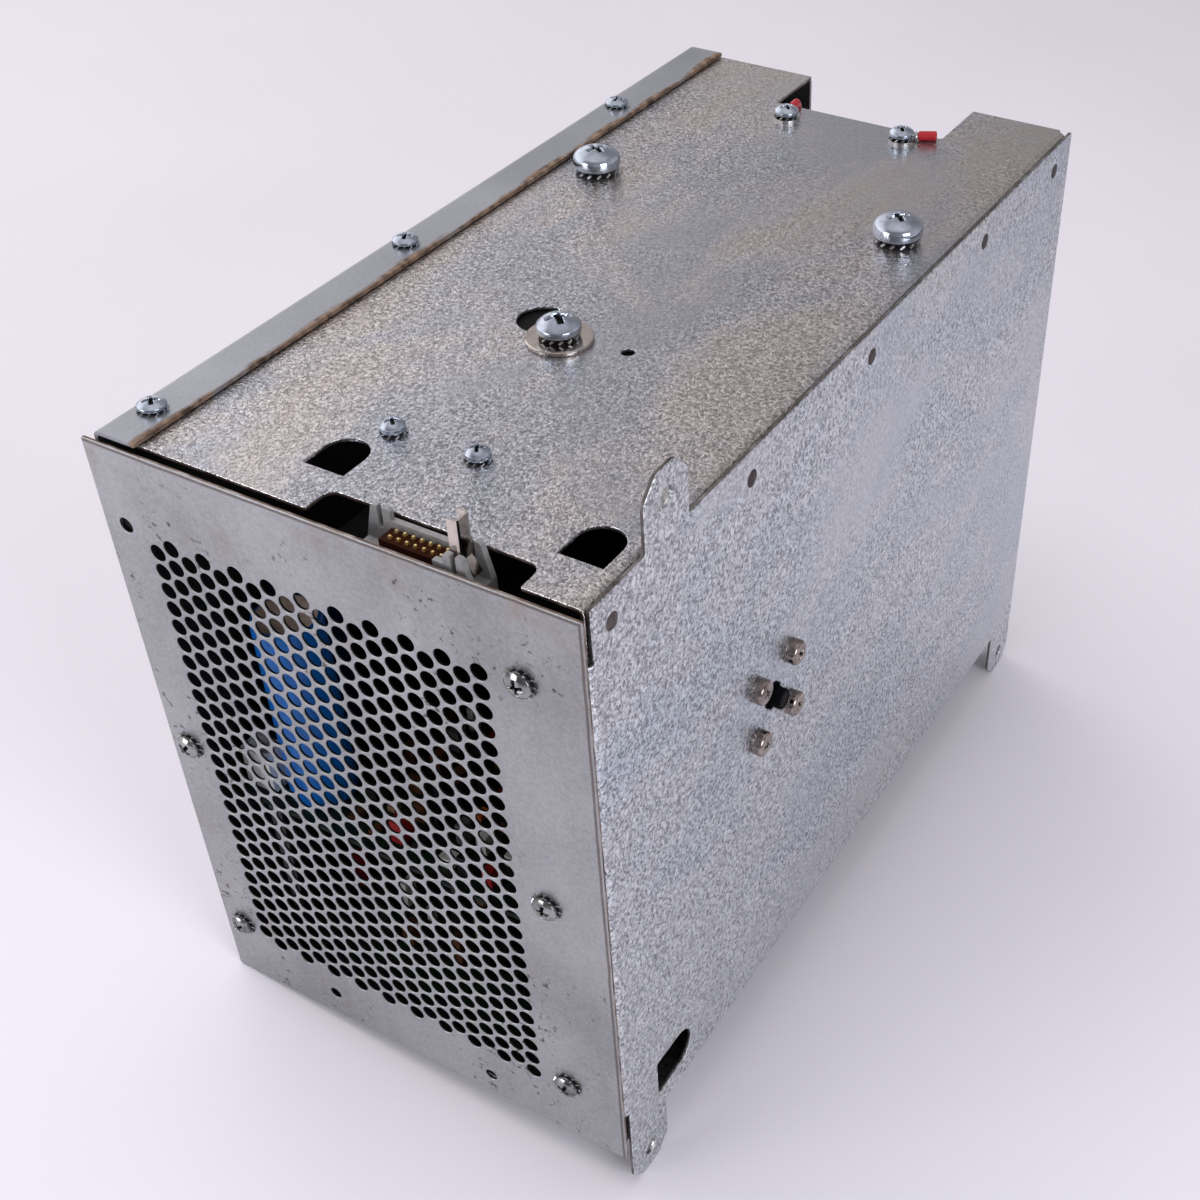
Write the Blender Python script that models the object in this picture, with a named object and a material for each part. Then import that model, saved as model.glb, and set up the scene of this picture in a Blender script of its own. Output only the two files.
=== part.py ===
# Servo drive: a sheet-metal chassis with a perforated front panel, a galvanised top
# plate and mounting side with ears, a screwed-on left cover, a latched pin header in
# the top front edge, and the boards, capacitors and heat sink that it carries.
# Sizes are in millimetres in the chassis frame: X from the cover's outer face to the
# mounting side, Y from the front panel's face to the rear, Z up from the bottom plate.
import bpy
import bmesh
from math import pi, cos, sin, tan, floor, sqrt, radians, atan2
from mathutils import Vector
from mathutils.geometry import delaunay_2d_cdt

# Overall chassis
CHASSIS_W = 149.8          # cover face to mounting face
CHASSIS_H = 207.4          # bottom plate to top plate, over both faces
CHASSIS_D = 296.0          # front panel face to rear face
CLEAR = 0.3                # gap between pieces that sit on each other
CHASSIS_T = 1.2            # galvanised sheet
COVER_T = 1.2              # cover sheet
FRONT_T = 1.2              # front panel sheet
BEND_R = 1.4               # bend radius on the middle of the sheet
BEND_LAP = 6.0             # how far a joined bend runs on into its sheet
TAB_SETBACK = 2.0          # corner tabs behind the folded flange's face
FRONT_REACH = 8.0          # screw shanks below their washers
BRACKET_REACH = 9.0
SHORT_REACH = 7.0

# Front panel and its perforation: quarter-inch staggered pitch, 5.1 mm holes
FRONT_OVER_LEFT = 3.6      # panel past the cover's face
FRONT_OVER_RIGHT = 0.2     # panel past the mounting face
FRONT_TOP_DROP = 0.8       # panel's top edge below the top plate
FRONT_BOTTOM_DROP = 2.7    # panel's bottom edge below the bottom plate
HOLE_PITCH = 6.35
HOLE_D = 5.1
FIELD_LEFT = 17.2          # first hole column from the panel's left edge
FIELD_TOP = 31.1           # first hole from the panel's top edge
FIELD_RIGHT = 29.0         # least margin to the panel's right edge
FIELD_BOTTOM = 18.0        # least margin to the panel's bottom edge
FRONT_SCREW_LEFT = 7.7     # screw column from the panel's left edge
FRONT_SCREW_RIGHT = 19.2   # screw column from the panel's right edge
FRONT_SCREW_TOP = 25.4     # first screw from the panel's top edge
FRONT_SCREW_STEP = 79.4    # screw pitch down the panel
FRONT_SMALL_HOLE_D = 4.2
FRONT_SMALL_HOLE_UP = 9.4  # two spare holes above the panel's bottom edge
FRONT_SMALL_HOLE_1 = 43.4  # from the panel's left edge
FRONT_SMALL_HOLE_2 = 104.6

# Mounting side: flat sheet with a front flange and three ears
FLANGE_W = 25.4            # front flange, bent in behind the front panel
RELIEF_END = 15.8          # where the front flange stops short of top and bottom
RELIEF_W = 1.0
EAR_W = 19.6
EAR_UP = 19.4
EAR_DOWN = 22.2
EAR_CHAMFER = 5.6
EAR_HOLE_D = 5.3
EAR_HOLE_IN = 8.5          # hole from the ear's tip
TOP_EAR_Y = 36.8
SIDE_SCREW_SQUARE = 20.0
SIDE_SCREW_Y = 90.0
SIDE_SCREW_Z = 114.9
SIDE_PORT = 9.0            # port between the four screws
SIDE_BOSS_R = 3.2          # the module's boss that stands out of the port
SIDE_BOSS_OUT = 3.6
SIDE_D_FRONT = 19.4        # D-shaped hole near the lower front corner
SIDE_D_LEN = 19.2
SIDE_D_HIGH = 14.6
SIDE_D_UP = 6.6

# Top plate and the flanges that tie it and the bottom plate to the mounting side
WELD_FLANGE = 18.0
SLOT_X0 = CHASSIS_W - 81.8   # header slot in the front edge
SLOT_X1 = CHASSIS_W - 18.8
SLOT_DEPTH = 12.4
SLOT_CORNER = 3.0
TOP_D_W = 12.8             # D-shaped holes left and right of the slot
TOP_D_LEN = 14.8
TOP_D_Y = 18.2
TOP_D_X1 = 61.0
TOP_D_X2 = CHASSIS_W - 12.4
NOTCH_X0 = 51.2            # notch over the rear window
NOTCH_X1 = 113.8
NOTCH_DEPTH = 26.0
BOLT_A = (27.2, 193.2)
BOLT_B = (CHASSIS_W - 17.4, 197.1)
BOLT_C = (76.9, 98.7)
PEEP_HOLE = (66.3, 105.9)
PEEP_HOLE_D = 14.8
SPARE_HOLE = (96.8, 102.4)
SPARE_HOLE_D = 3.8
BRACKET_SCREW_1 = (SLOT_X0 - 2.0, 39.8)
BRACKET_SCREW_2 = (SLOT_X0 + 24.2, 40.4)
EARTH_SCREW_1 = (60.7, CHASSIS_D - NOTCH_DEPTH - 10.4)
EARTH_SCREW_2 = (102.6, CHASSIS_D - NOTCH_DEPTH - 7.6)

# Cover
COVER_FLANGE = 14.0
COVER_SCREW_X = 6.4
COVER_SCREW_Y = (16.2, 121.0, 237.4)
COVER_RELIEF = 12.0        # cover's front flange stops short of top and bottom

# Rear panel
REAR_FLANGE = 20.0
WINDOW_SILL = 30.0         # lower edge of the rear window

# Fasteners: shank radius, head radius, head height, washer radius, washer height
HOLE_PLAY = 0.5            # hole radius over shank radius
FRONT_SCREW = (1.9, 3.9, 2.2, 4.7, 0.8)
BOLT = (3.0, 6.4, 5.8, 7.5, 1.4)
MID_BOLT = (3.0, 6.0, 4.0, 5.6, 1.0)
SMALL_SCREW = (1.6, 3.4, 2.2, 4.0, 0.7)
COVER_SCREW = (1.6, 3.2, 1.5, 3.6, 0.3)
SIDE_SCREW = (1.5, 3.9, 3.7, 4.0, 0.3)
FLAT_WASHER_R = 9.6
FLAT_WASHER_T = 1.4

# Earth tags under the two rear screws
TAG_R = 4.6
TAG_T = 0.9
TAG_NECK_W = 4.4
TAG_REACH = 7.6            # ring centre to the start of the sleeve
SLEEVE_R = 2.7
SLEEVE_L = 10.5
TAG_TURN_1 = -8            # degrees about the screw
TAG_TURN_2 = -62

# Pin header on its small board under the slot
HEADER_X = CHASSIS_W - 50.65   # header centre
HEADER_Y = 7.0
HEADER_W = 9.0             # over both walls
HEADER_WALL = 1.4
HEADER_CHEEK = 1.7
HEADER_BASE_Z = CHASSIS_H - 7.6   # floor of the shroud
HEADER_WALL_Z = HEADER_BASE_Z + 6.8
HEADER_CHEEK_Z = HEADER_BASE_Z + 9.8
HEADER_FOOT = 18.6         # half length at the foot
CHEEK_IN = 10.6            # cheek's inner edge from the centre
CHEEK_OUT = 16.3           # cheek's outer edge at its top
PIN_PITCH = 2.54
PIN_COLS = 7
PIN_SIDE = 0.64
PIN_TOP_Z = HEADER_BASE_Z + 6.2
INSERT_T = 0.9
LATCH_X = 13.6             # latch pivot from the header's centre
LATCH_Z = HEADER_BASE_Z + 4.4
LATCH_TOP = LATCH_Z + 14.3
LATCH_T = 0.6
LATCH_D = 3.0              # channel depth
TRUNNION_R = 0.5
HEADER_BOARD_T = 1.6
HEADER_BOARD_Z = HEADER_BASE_Z - 12.5
HEADER_BOARD_LEFT = 6.0    # board past the slot's ends
HEADER_BOARD_RIGHT = 3.0
HEADER_BOARD_BACK = 52.0
SPACER_R = 3.4

# Boards and what stands on them
BOARD_T = 1.6
BOARD_EDGE = 5.0           # board edge to the chassis walls
STANDOFF_R = 3.2
POWER_STANDOFF = 10.0
CONTROL_STANDOFF = 62.0
CONTROL_DEPTH = 128.0
STANDOFF_IN = 7.0          # standoff centre from the board's edges
CAN_R = 10.5               # small blue capacitor seen through the grille
CAN_H = 67.5
CAN_X = 30.7
CAN_Y = 22.5
CAN_STEP = 23.0            # back to the second one behind it
CAN_SHIFT = -15.0          # and sideways
BUS_R = 17.5
BUS_H = 82.0
BUS_X = 32.0
BUS_Y = 168.0
BUS_STEP = 44.0
PLUG_W = 10.5              # white nylon connector
PLUG_L = 7.5
PLUG_H = 15.0
PLUG_IN = 5.8              # from the control board's left edge
PLUG_BACK = 3.5            # from its front edge
PLUG_WALL = 1.2
CHOKE_W = 54.0
CHOKE_D = 46.0
CHOKE_H = 30.0
CHOKE_LIMB = 9.0
CHOKE_X = 102.0
CHOKE_Y = 196.0
WINDING_OUT = 9.0          # winding past the core's faces
BLOCK_W = 56.0             # rear terminal block
BLOCK_D = 16.0
BLOCK_H = 14.0
BLOCK_STEPS = 6
SINK_BASE = 7.0
SINK_FIN = 26.0
SINK_FIN_T = 2.0
SINK_FINS = 13
SINK_MARGIN = 12.0         # sink edge past the bolts
MODULE_SIDE = 32.0         # module behind the four side screws
MODULE_T = 14.0

ROUND = 8                  # sides of a small round
FULL = 16                  # sides of a larger round

# Where the sheets lie
TOP_UNDER = CHASSIS_H - CHASSIS_T
PLATE_X0 = COVER_T + CLEAR
PLATE_X1 = CHASSIS_W - CHASSIS_T - CLEAR
FLANGE_Y = FRONT_T + CLEAR
PLATE_Y0 = FLANGE_Y + CHASSIS_T + CLEAR
COVER_Z1 = CHASSIS_H + CLEAR + COVER_T
COVER_Z0 = -CLEAR - COVER_T
PANEL_X0 = -FRONT_OVER_LEFT
PANEL_X1 = CHASSIS_W + FRONT_OVER_RIGHT
PANEL_Z0 = -FRONT_BOTTOM_DROP
PANEL_Z1 = CHASSIS_H - FRONT_TOP_DROP

# The part's origin: middle of its outline, at the level of the ears' tips
HEAD_FRONT = CLEAR + FRONT_SCREW[4] + FRONT_SCREW[2]
HEAD_SIDE = CLEAR + SIDE_SCREW[4] + SIDE_SCREW[2]
ORIGIN = Vector(((PANEL_X0 + CHASSIS_W + HEAD_SIDE) / 2,
                 (CHASSIS_D - HEAD_FRONT) / 2, -EAR_DOWN))
MM = 0.001

for old in list(bpy.data.objects):
    bpy.data.objects.remove(old, do_unlink=True)

ROOT = bpy.data.objects.new("servo_drive", None)
bpy.context.scene.collection.objects.link(ROOT)


def material(name, colour, roughness, metallic):
    mat = bpy.data.materials.new(name)
    mat.use_nodes = True
    shader = mat.node_tree.nodes["Principled BSDF"]
    shader.inputs["Base Color"].default_value = (*colour, 1.0)
    shader.inputs["Roughness"].default_value = roughness
    shader.inputs["Metallic"].default_value = metallic
    mat.diffuse_color = (*colour, 1.0)
    return mat


GALVANISED = material("galvanised_sheet", (0.46, 0.46, 0.48), 0.55, 0.7)
ZINC_SHEET = material("satin_zinc_sheet", (0.58, 0.59, 0.62), 0.45, 0.6)
ZINC = material("zinc_plated_steel", (0.62, 0.62, 0.60), 0.28, 1.0)
NICKEL = material("nickel_plated_steel", (0.60, 0.54, 0.48), 0.25, 1.0)
ALUMINIUM = material("aluminium", (0.66, 0.66, 0.67), 0.4, 0.9)
GREY_PLASTIC = material("grey_plastic", (0.42, 0.42, 0.43), 0.5, 0.0)
BROWN_PLASTIC = material("brown_plastic", (0.09, 0.035, 0.02), 0.5, 0.0)
RED_SLEEVE = material("red_sleeved_terminal", (0.55, 0.03, 0.02), 0.4, 0.0)
WHITE_NYLON = material("white_nylon", (0.82, 0.82, 0.80), 0.5, 0.0)
BLUE_SLEEVE = material("blue_sleeve", (0.03, 0.16, 0.50), 0.4, 0.0)
BLACK_PLASTIC = material("black_plastic", (0.03, 0.03, 0.03), 0.5, 0.0)
LAMINATE = material("green_laminate", (0.04, 0.14, 0.06), 0.5, 0.0)
COPPER = material("enamelled_copper", (0.45, 0.16, 0.06), 0.35, 0.6)
IRON = material("core_iron", (0.16, 0.15, 0.15), 0.6, 0.3)


# Shapes in two dimensions
def rect(u0, v0, u1, v1):
    return [(u0, v0), (u1, v0), (u1, v1), (u0, v1)]


def ring(u, v, r, n=ROUND):
    """Points round a circle, with a flat to each axis."""
    return [(u + r * cos(2 * pi * (k + 0.5) / n), v + r * sin(2 * pi * (k + 0.5) / n)) for k in range(n)]


def d_hole(u, v0, width, length, n=6):
    """Straight front edge at v0, straight sides, and a round back."""
    r = width / 2
    arc = [(u + r * cos(pi * k / n), v0 + length - r + r * sin(pi * k / n)) for k in range(n + 1)]
    return [(u - r, v0), (u + r, v0)] + arc


def folded(path, t, radius, steps=3):
    """Cross-section of a sheet t thick whose middle follows path, with round bends."""
    middle = []
    for i, point in enumerate(path):
        p = Vector(point)
        if i in (0, len(path) - 1):
            along = (Vector(path[1]) - p) if i == 0 else (p - Vector(path[i - 1]))
            along.normalize()
            middle.append((p, Vector((-along.y, along.x))))
            continue
        before = (p - Vector(path[i - 1])).normalized()
        after = (Vector(path[i + 1]) - p).normalized()
        turn = atan2(before.x * after.y - before.y * after.x, before.dot(after))
        side = 1.0 if turn > 0 else -1.0
        start = p - before * radius * tan(abs(turn) / 2)
        normal = Vector((-before.y, before.x))
        centre = start + normal * side * radius
        for k in range(steps + 1):
            a = turn * k / steps
            n = Vector((normal.x * cos(a) - normal.y * sin(a), normal.x * sin(a) + normal.y * cos(a)))
            middle.append((centre - n * side * radius, n))
    left = [tuple(p + n * t / 2) for p, n in middle]
    right = [tuple(p - n * t / 2) for p, n in middle]
    return left + right[::-1]


# Solids
AXES = {"XY": (0, 1, 2), "XZ": (0, 2, 1), "YZ": (1, 2, 0)}


def place(plane, u, v, w):
    co = [0.0, 0.0, 0.0]
    for axis, value in zip(AXES[plane], (u, v, w)):
        co[axis] = value
    return Vector(co)


def prism(bm, outline, plane, w0, w1):
    """An outline in a plane, drawn out from w0 to w1."""
    low = [bm.verts.new(place(plane, u, v, w0)) for u, v in outline]
    high = [bm.verts.new(place(plane, u, v, w1)) for u, v in outline]
    faces = [bm.faces.new(low), bm.faces.new(high)]
    for i in range(len(low)):
        j = (i + 1) % len(low)
        faces.append(bm.faces.new((low[i], low[j], high[j], high[i])))
    bmesh.ops.recalc_face_normals(bm, faces=faces)


def sheet(outline, holes, plane, w0, w1):
    """A flat sheet with holes: a triangulation of its face, drawn out to its thickness."""
    points, edges, owner = [], [], []
    for number, loop in enumerate([outline] + holes):
        first = len(points)
        points += [Vector(p) for p in loop]
        owner += [number] * len(loop)
        edges += [(first + i, first + (i + 1) % len(loop)) for i in range(len(loop))]
    flat = delaunay_2d_cdt(points, edges, [], 1, 1e-6)
    loop_of = [owner[ids[0]] for ids in flat[3]]
    bm = bmesh.new()
    verts = [bm.verts.new(place(plane, p.x, p.y, w0)) for p in flat[0]]
    for face in flat[2]:
        loops = {loop_of[i] for i in face}
        if len(loops) > 1 or loops == {0}:
            bm.faces.new([verts[i] for i in face])
    grown = bmesh.ops.extrude_face_region(bm, geom=bm.faces[:], use_keep_orig=True)
    moved = [g for g in grown["geom"] if isinstance(g, bmesh.types.BMVert)]
    bmesh.ops.translate(bm, verts=moved, vec=place(plane, 0, 0, w1 - w0))
    bmesh.ops.recalc_face_normals(bm, faces=bm.faces[:])
    return bm


def turned(profile, n=ROUND):
    """A profile of (radius, height) points turned about Z; both ends on the axis."""
    bm = bmesh.new()
    rows = []
    for r, z in profile:
        if r == 0:
            rows.append([bm.verts.new((0, 0, z))])
        else:
            rows.append([bm.verts.new((x, y, z)) for x, y in ring(0, 0, r, n)])
    for a, b in zip(rows, rows[1:]):
        for k in range(n):
            j = (k + 1) % n
            corners = [a[k % len(a)], a[j % len(a)], b[j % len(b)], b[k % len(b)]]
            bm.faces.new([c for i, c in enumerate(corners) if c not in corners[:i]])
    bmesh.ops.recalc_face_normals(bm, faces=bm.faces[:])
    return bm


def tube(r, bore, z0, z1, n=ROUND):
    return sheet(ring(0, 0, r, n), [ring(0, 0, bore, n)], "XY", z0, z1)


def put(name, shape, mat, at=(0, 0, 0), turn=(0, 0, 0), smooth=False):
    """A named object from a mesh in millimetres, at a place in the chassis frame."""
    if isinstance(shape, bmesh.types.BMesh):
        mesh = bpy.data.meshes.new(name)
        shape.normal_update()
        bmesh.ops.scale(shape, verts=shape.verts[:], vec=(MM, MM, MM))
        shape.to_mesh(mesh)
        shape.free()
        mesh.materials.append(mat)
        if smooth:
            mesh.shade_smooth()
            mesh.set_sharp_from_angle(angle=radians(35))
    else:
        mesh = shape
    obj = bpy.data.objects.new(name, mesh)
    bpy.context.scene.collection.objects.link(obj)
    obj.parent = ROOT
    obj.location = (Vector(at) - ORIGIN) * MM
    obj.rotation_euler = [radians(a) for a in turn]
    return obj


def tool(name, outlines, at=(0, 0, 0)):
    """A hidden cutter or joiner made of prisms (outline, plane, w0, w1)."""
    bm = bmesh.new()
    for outline, plane, w0, w1 in outlines:
        prism(bm, outline, plane, w0, w1)
    obj = put(name, bm, GALVANISED, at)
    obj.hide_render = True
    obj.display_type = "WIRE"
    return obj


def boolean(obj, how, other):
    mod = obj.modifiers.new(how.lower(), "BOOLEAN")
    mod.operation = how
    mod.object = other
    mod.solver = "EXACT"


def cut(obj, outlines, at=(0, 0, 0)):
    boolean(obj, "DIFFERENCE", tool("cut_" + obj.name + str(len(obj.modifiers)), outlines, at))


def join(obj, outlines, at=(0, 0, 0)):
    for k, outline in enumerate(outlines):
        boolean(obj, "UNION", tool("join_" + obj.name + str(len(obj.modifiers)), [outline], at))


# Front panel: one flat sheet with the staggered field of round holes
FRONT_SCREWS = []
for side in (PANEL_X0 + FRONT_SCREW_LEFT, PANEL_X1 - FRONT_SCREW_RIGHT):
    for k in range(3):
        FRONT_SCREWS.append((side, PANEL_Z1 - FRONT_SCREW_TOP - k * FRONT_SCREW_STEP))
column_step = HOLE_PITCH * sqrt(3) / 2
columns = floor((PANEL_X1 - PANEL_X0 - FIELD_LEFT - FIELD_RIGHT) / column_step) + 1
rows = floor((PANEL_Z1 - PANEL_Z0 - FIELD_TOP - FIELD_BOTTOM) / HOLE_PITCH) + 1
half = HOLE_D * sqrt(pi) / 4          # square of the round hole's open area
field = []
for c in range(columns):
    for r in range(rows - 1 + c % 2):
        u = PANEL_X0 + FIELD_LEFT + c * column_step
        v = PANEL_Z1 - FIELD_TOP - r * HOLE_PITCH + (c % 2) * HOLE_PITCH / 2
        field.append(rect(u - half, v - half, u + half, v + half))
front_hole = FRONT_SCREW[0] + HOLE_PLAY
panel_holes = [ring(x, z, front_hole) for x, z in FRONT_SCREWS]
panel_holes += [ring(PANEL_X0 + x, PANEL_Z0 + FRONT_SMALL_HOLE_UP, FRONT_SMALL_HOLE_D / 2)
                for x in (FRONT_SMALL_HOLE_1, FRONT_SMALL_HOLE_2)]
put("front_grille", sheet(rect(PANEL_X0, PANEL_Z0, PANEL_X1, PANEL_Z1), field + panel_holes,
                          "XZ", 0, FRONT_T), ZINC_SHEET)

# Mounting side: ears above and below, and a front edge that folds in behind the panel
fold_back = FLANGE_Y + CHASSIS_T + BEND_R
tab_front = FLANGE_Y + TAB_SETBACK
z_low, z_high = RELIEF_END, CHASSIS_H - RELIEF_END
rear_ear = CHASSIS_D - EAR_W


def ear(y0, tip, base):
    step = EAR_CHAMFER if tip > base else -EAR_CHAMFER
    return [(y0, base), (y0, tip - step), (y0 + EAR_CHAMFER, tip),
            (y0 + EAR_W - EAR_CHAMFER, tip), (y0 + EAR_W, tip - step), (y0 + EAR_W, base)]


side_outline = ear(tab_front, -EAR_DOWN, 0)
side_outline += ear(rear_ear, -EAR_DOWN, 0)
side_outline += [(CHASSIS_D, CHASSIS_H)]
side_outline += ear(TOP_EAR_Y - EAR_W / 2, CHASSIS_H + EAR_UP, CHASSIS_H)[::-1]
side_outline += [(tab_front, CHASSIS_H), (tab_front, z_high + RELIEF_W), (fold_back, z_high + RELIEF_W),
                 (fold_back, z_low - RELIEF_W), (tab_front, z_low - RELIEF_W)]
side_screws = [(SIDE_SCREW_Y + i * SIDE_SCREW_SQUARE / 2, SIDE_SCREW_Z + j * SIDE_SCREW_SQUARE / 2)
               for i, j in ((1, 1), (-1, 1), (1, -1), (-1, -1))]
ear_holes = [(TOP_EAR_Y, CHASSIS_H + EAR_UP - EAR_HOLE_IN),
             (tab_front + EAR_W / 2, -EAR_DOWN + EAR_HOLE_IN),
             (rear_ear + EAR_W / 2, -EAR_DOWN + EAR_HOLE_IN)]
d_mid = SIDE_D_UP + SIDE_D_HIGH / 2
side_holes = [ring(y, z, SIDE_SCREW[0] + HOLE_PLAY) for y, z in side_screws]
side_holes += [ring(y, z, EAR_HOLE_D / 2, 10) for y, z in ear_holes]
side_holes += [[(y, z) for z, y in d_hole(d_mid, SIDE_D_FRONT, SIDE_D_HIGH, SIDE_D_LEN)]]
side_holes += [ring(SIDE_SCREW_Y, SIDE_SCREW_Z, SIDE_PORT / 2 / cos(pi / 8))]
side_panel = put("side_panel", sheet(side_outline, side_holes, "YZ", CHASSIS_W - CHASSIS_T, CHASSIS_W), GALVANISED)
wall_mid = CHASSIS_W - CHASSIS_T / 2
front_mid = FLANGE_Y + CHASSIS_T / 2
join(side_panel, [(folded([(CHASSIS_W - FLANGE_W, front_mid), (wall_mid, front_mid), (wall_mid, fold_back + BEND_LAP)],
                          CHASSIS_T, BEND_R), "XY", z_low, z_high)])
cut(side_panel, [(ring(x, z, front_hole), "XZ", FLANGE_Y - 2, fold_back) for x, z in FRONT_SCREWS[3:]])


# Top and bottom plates: flat sheets with one edge folded to lie inside the mounting side
def tie_plate(name, level, reach):
    edge = PLATE_X1 - CHASSIS_T / 2
    return put(name, prism_of(folded([(PLATE_X0, level), (edge, level), (edge, reach)], CHASSIS_T, BEND_R),
                              "XZ", PLATE_Y0, CHASSIS_D), GALVANISED)


def prism_of(outline, plane, w0, w1):
    bm = bmesh.new()
    prism(bm, outline, plane, w0, w1)
    return bm


past = 4.0                            # how far a cutter runs past what it cuts
top_plate = tie_plate("top_plate", CHASSIS_H - CHASSIS_T / 2, CHASSIS_H - WELD_FLANGE)
bottom_plate = tie_plate("bottom_plate", CHASSIS_T / 2, WELD_FLANGE)
corner = [(SLOT_CORNER * (1 - cos(k * pi / 6)), SLOT_CORNER * (1 - sin(k * pi / 6))) for k in range(4)]
slot = [(SLOT_X0, PLATE_Y0 - past), (SLOT_X1, PLATE_Y0 - past)]
slot += [(SLOT_X1 - du, SLOT_DEPTH - dv) for du, dv in corner]
slot += [(SLOT_X0 + du, SLOT_DEPTH - dv) for du, dv in corner[::-1]]
small_hole = SMALL_SCREW[0] + HOLE_PLAY
cover_hole = COVER_SCREW[0] + HOLE_PLAY
cover_spots = [(COVER_SCREW_X, y) for y in COVER_SCREW_Y]
top_cuts = [slot, rect(NOTCH_X0, CHASSIS_D - NOTCH_DEPTH, NOTCH_X1, CHASSIS_D + past)]
top_cuts += [d_hole(x, TOP_D_Y, TOP_D_W, TOP_D_LEN) for x in (TOP_D_X1, TOP_D_X2)]
top_cuts += [ring(*spot, BOLT[0] + HOLE_PLAY) for spot in (BOLT_A, BOLT_B, BOLT_C)]
top_cuts += [ring(*PEEP_HOLE, PEEP_HOLE_D / 2, FULL), ring(*SPARE_HOLE, SPARE_HOLE_D / 2)]
top_cuts += [ring(*spot, small_hole) for spot in (BRACKET_SCREW_1, BRACKET_SCREW_2, EARTH_SCREW_1, EARTH_SCREW_2)]
top_cuts += [ring(*spot, cover_hole) for spot in cover_spots]
cut(top_plate, [(o, "XY", TOP_UNDER - past, CHASSIS_H + past) for o in top_cuts])
rear_in = CHASSIS_D - CHASSIS_T - CLEAR
flange_trim = (rect(PLATE_X1 - CHASSIS_T - past, rear_in, PLATE_X1 + past, CHASSIS_D + past), "XY")
cut(top_plate, [(*flange_trim, CHASSIS_H - WELD_FLANGE - past, TOP_UNDER)])
cut(bottom_plate, [(ring(*spot, cover_hole), "XY", -past, CHASSIS_T + past) for spot in cover_spots])
cut(bottom_plate, [(*flange_trim, CHASSIS_T, WELD_FLANGE + past)])
d_gap = 2.4                           # the flange is cut away round the mounting side's D-shaped hole
cut(bottom_plate, [(rect(SIDE_D_FRONT - d_gap, SIDE_D_UP - d_gap, SIDE_D_FRONT + SIDE_D_LEN + d_gap, WELD_FLANGE + past),
                    "YZ", PLATE_X1 - CHASSIS_T - past, PLATE_X1 + past)])

# Cover: a wide channel over the top and bottom plates, with a flange behind the panel
cover_mid = COVER_T / 2
left_cover = put("left_cover", prism_of(
    folded([(COVER_FLANGE, COVER_Z1 - cover_mid), (cover_mid, COVER_Z1 - cover_mid),
            (cover_mid, COVER_Z0 + cover_mid), (COVER_FLANGE, COVER_Z0 + cover_mid)], COVER_T, BEND_R),
    "XZ", FLANGE_Y, CHASSIS_D), ZINC_SHEET)
cover_fold = FLANGE_Y + COVER_T + BEND_R
c_low, c_high = COVER_RELIEF, CHASSIS_H - COVER_RELIEF
cut(left_cover, [(rect(-past, FLANGE_Y - past, past, cover_fold), "XY", c_low - RELIEF_W, c_high + RELIEF_W)])
join(left_cover, [(folded([(COVER_FLANGE, FLANGE_Y + cover_mid), (cover_mid, FLANGE_Y + cover_mid),
                           (cover_mid, cover_fold + BEND_LAP)], COVER_T, BEND_R), "XY", c_low, c_high)])
cut(left_cover, [(ring(x, z, front_hole), "XZ", FLANGE_Y - 2, cover_fold + 2) for x, z in FRONT_SCREWS[:3]])
cut(left_cover, [(ring(*spot, cover_hole), "XY", z - past, z + past)
                 for spot in cover_spots for z in (COVER_Z1, COVER_Z0)])

# Rear panel: a pan with side flanges, open from its sill up to the notch in the top
rear_mid = CHASSIS_D - CHASSIS_T / 2
pan_left, pan_right = PLATE_X0 + CHASSIS_T / 2, PLATE_X1 - CHASSIS_T / 2
pan_low, pan_high = CHASSIS_T + CLEAR, TOP_UNDER - CLEAR
rear_panel = put("rear_panel", prism_of(
    folded([(pan_left, CHASSIS_D - REAR_FLANGE), (pan_left, rear_mid), (pan_right, rear_mid),
            (pan_right, CHASSIS_D - REAR_FLANGE)], CHASSIS_T, BEND_R), "XY", pan_low, pan_high), GALVANISED)
cut(rear_panel, [(rect(NOTCH_X0, WINDOW_SILL, NOTCH_X1, pan_high + past), "XZ", CHASSIS_D - CHASSIS_T - past, CHASSIS_D + past)])
pan_trim = rect(PLATE_X1 - CHASSIS_T - past, CHASSIS_D - REAR_FLANGE - past, PLATE_X1 + past, rear_in)
cut(rear_panel, [(pan_trim, "XY", CHASSIS_H - WELD_FLANGE - CLEAR, CHASSIS_H + past),
                 (pan_trim, "XY", -past, WELD_FLANGE + CLEAR)])


# Fasteners: pan heads on toothed washers, drawn as one turned piece each
def screw_mesh(kind, reach, n=ROUND):
    shank, head, head_h, washer, washer_h = kind
    top = washer_h + head_h
    return turned([(0, -reach), (shank, -reach), (shank, 0), (washer, 0), (washer, washer_h), (head, washer_h),
                   (head, washer_h + head_h * 0.5), (head * 0.62, top), (0, top)], n)


def fasten(base, kind, reach, seats, turn, mat, n=ROUND, first=1):
    mesh = None
    for k, seat in enumerate(seats):
        obj = put(base + "_" + str(k + first), mesh or screw_mesh(kind, reach, n), mat, seat, turn, smooth=True)
        mesh = obj.data


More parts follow.
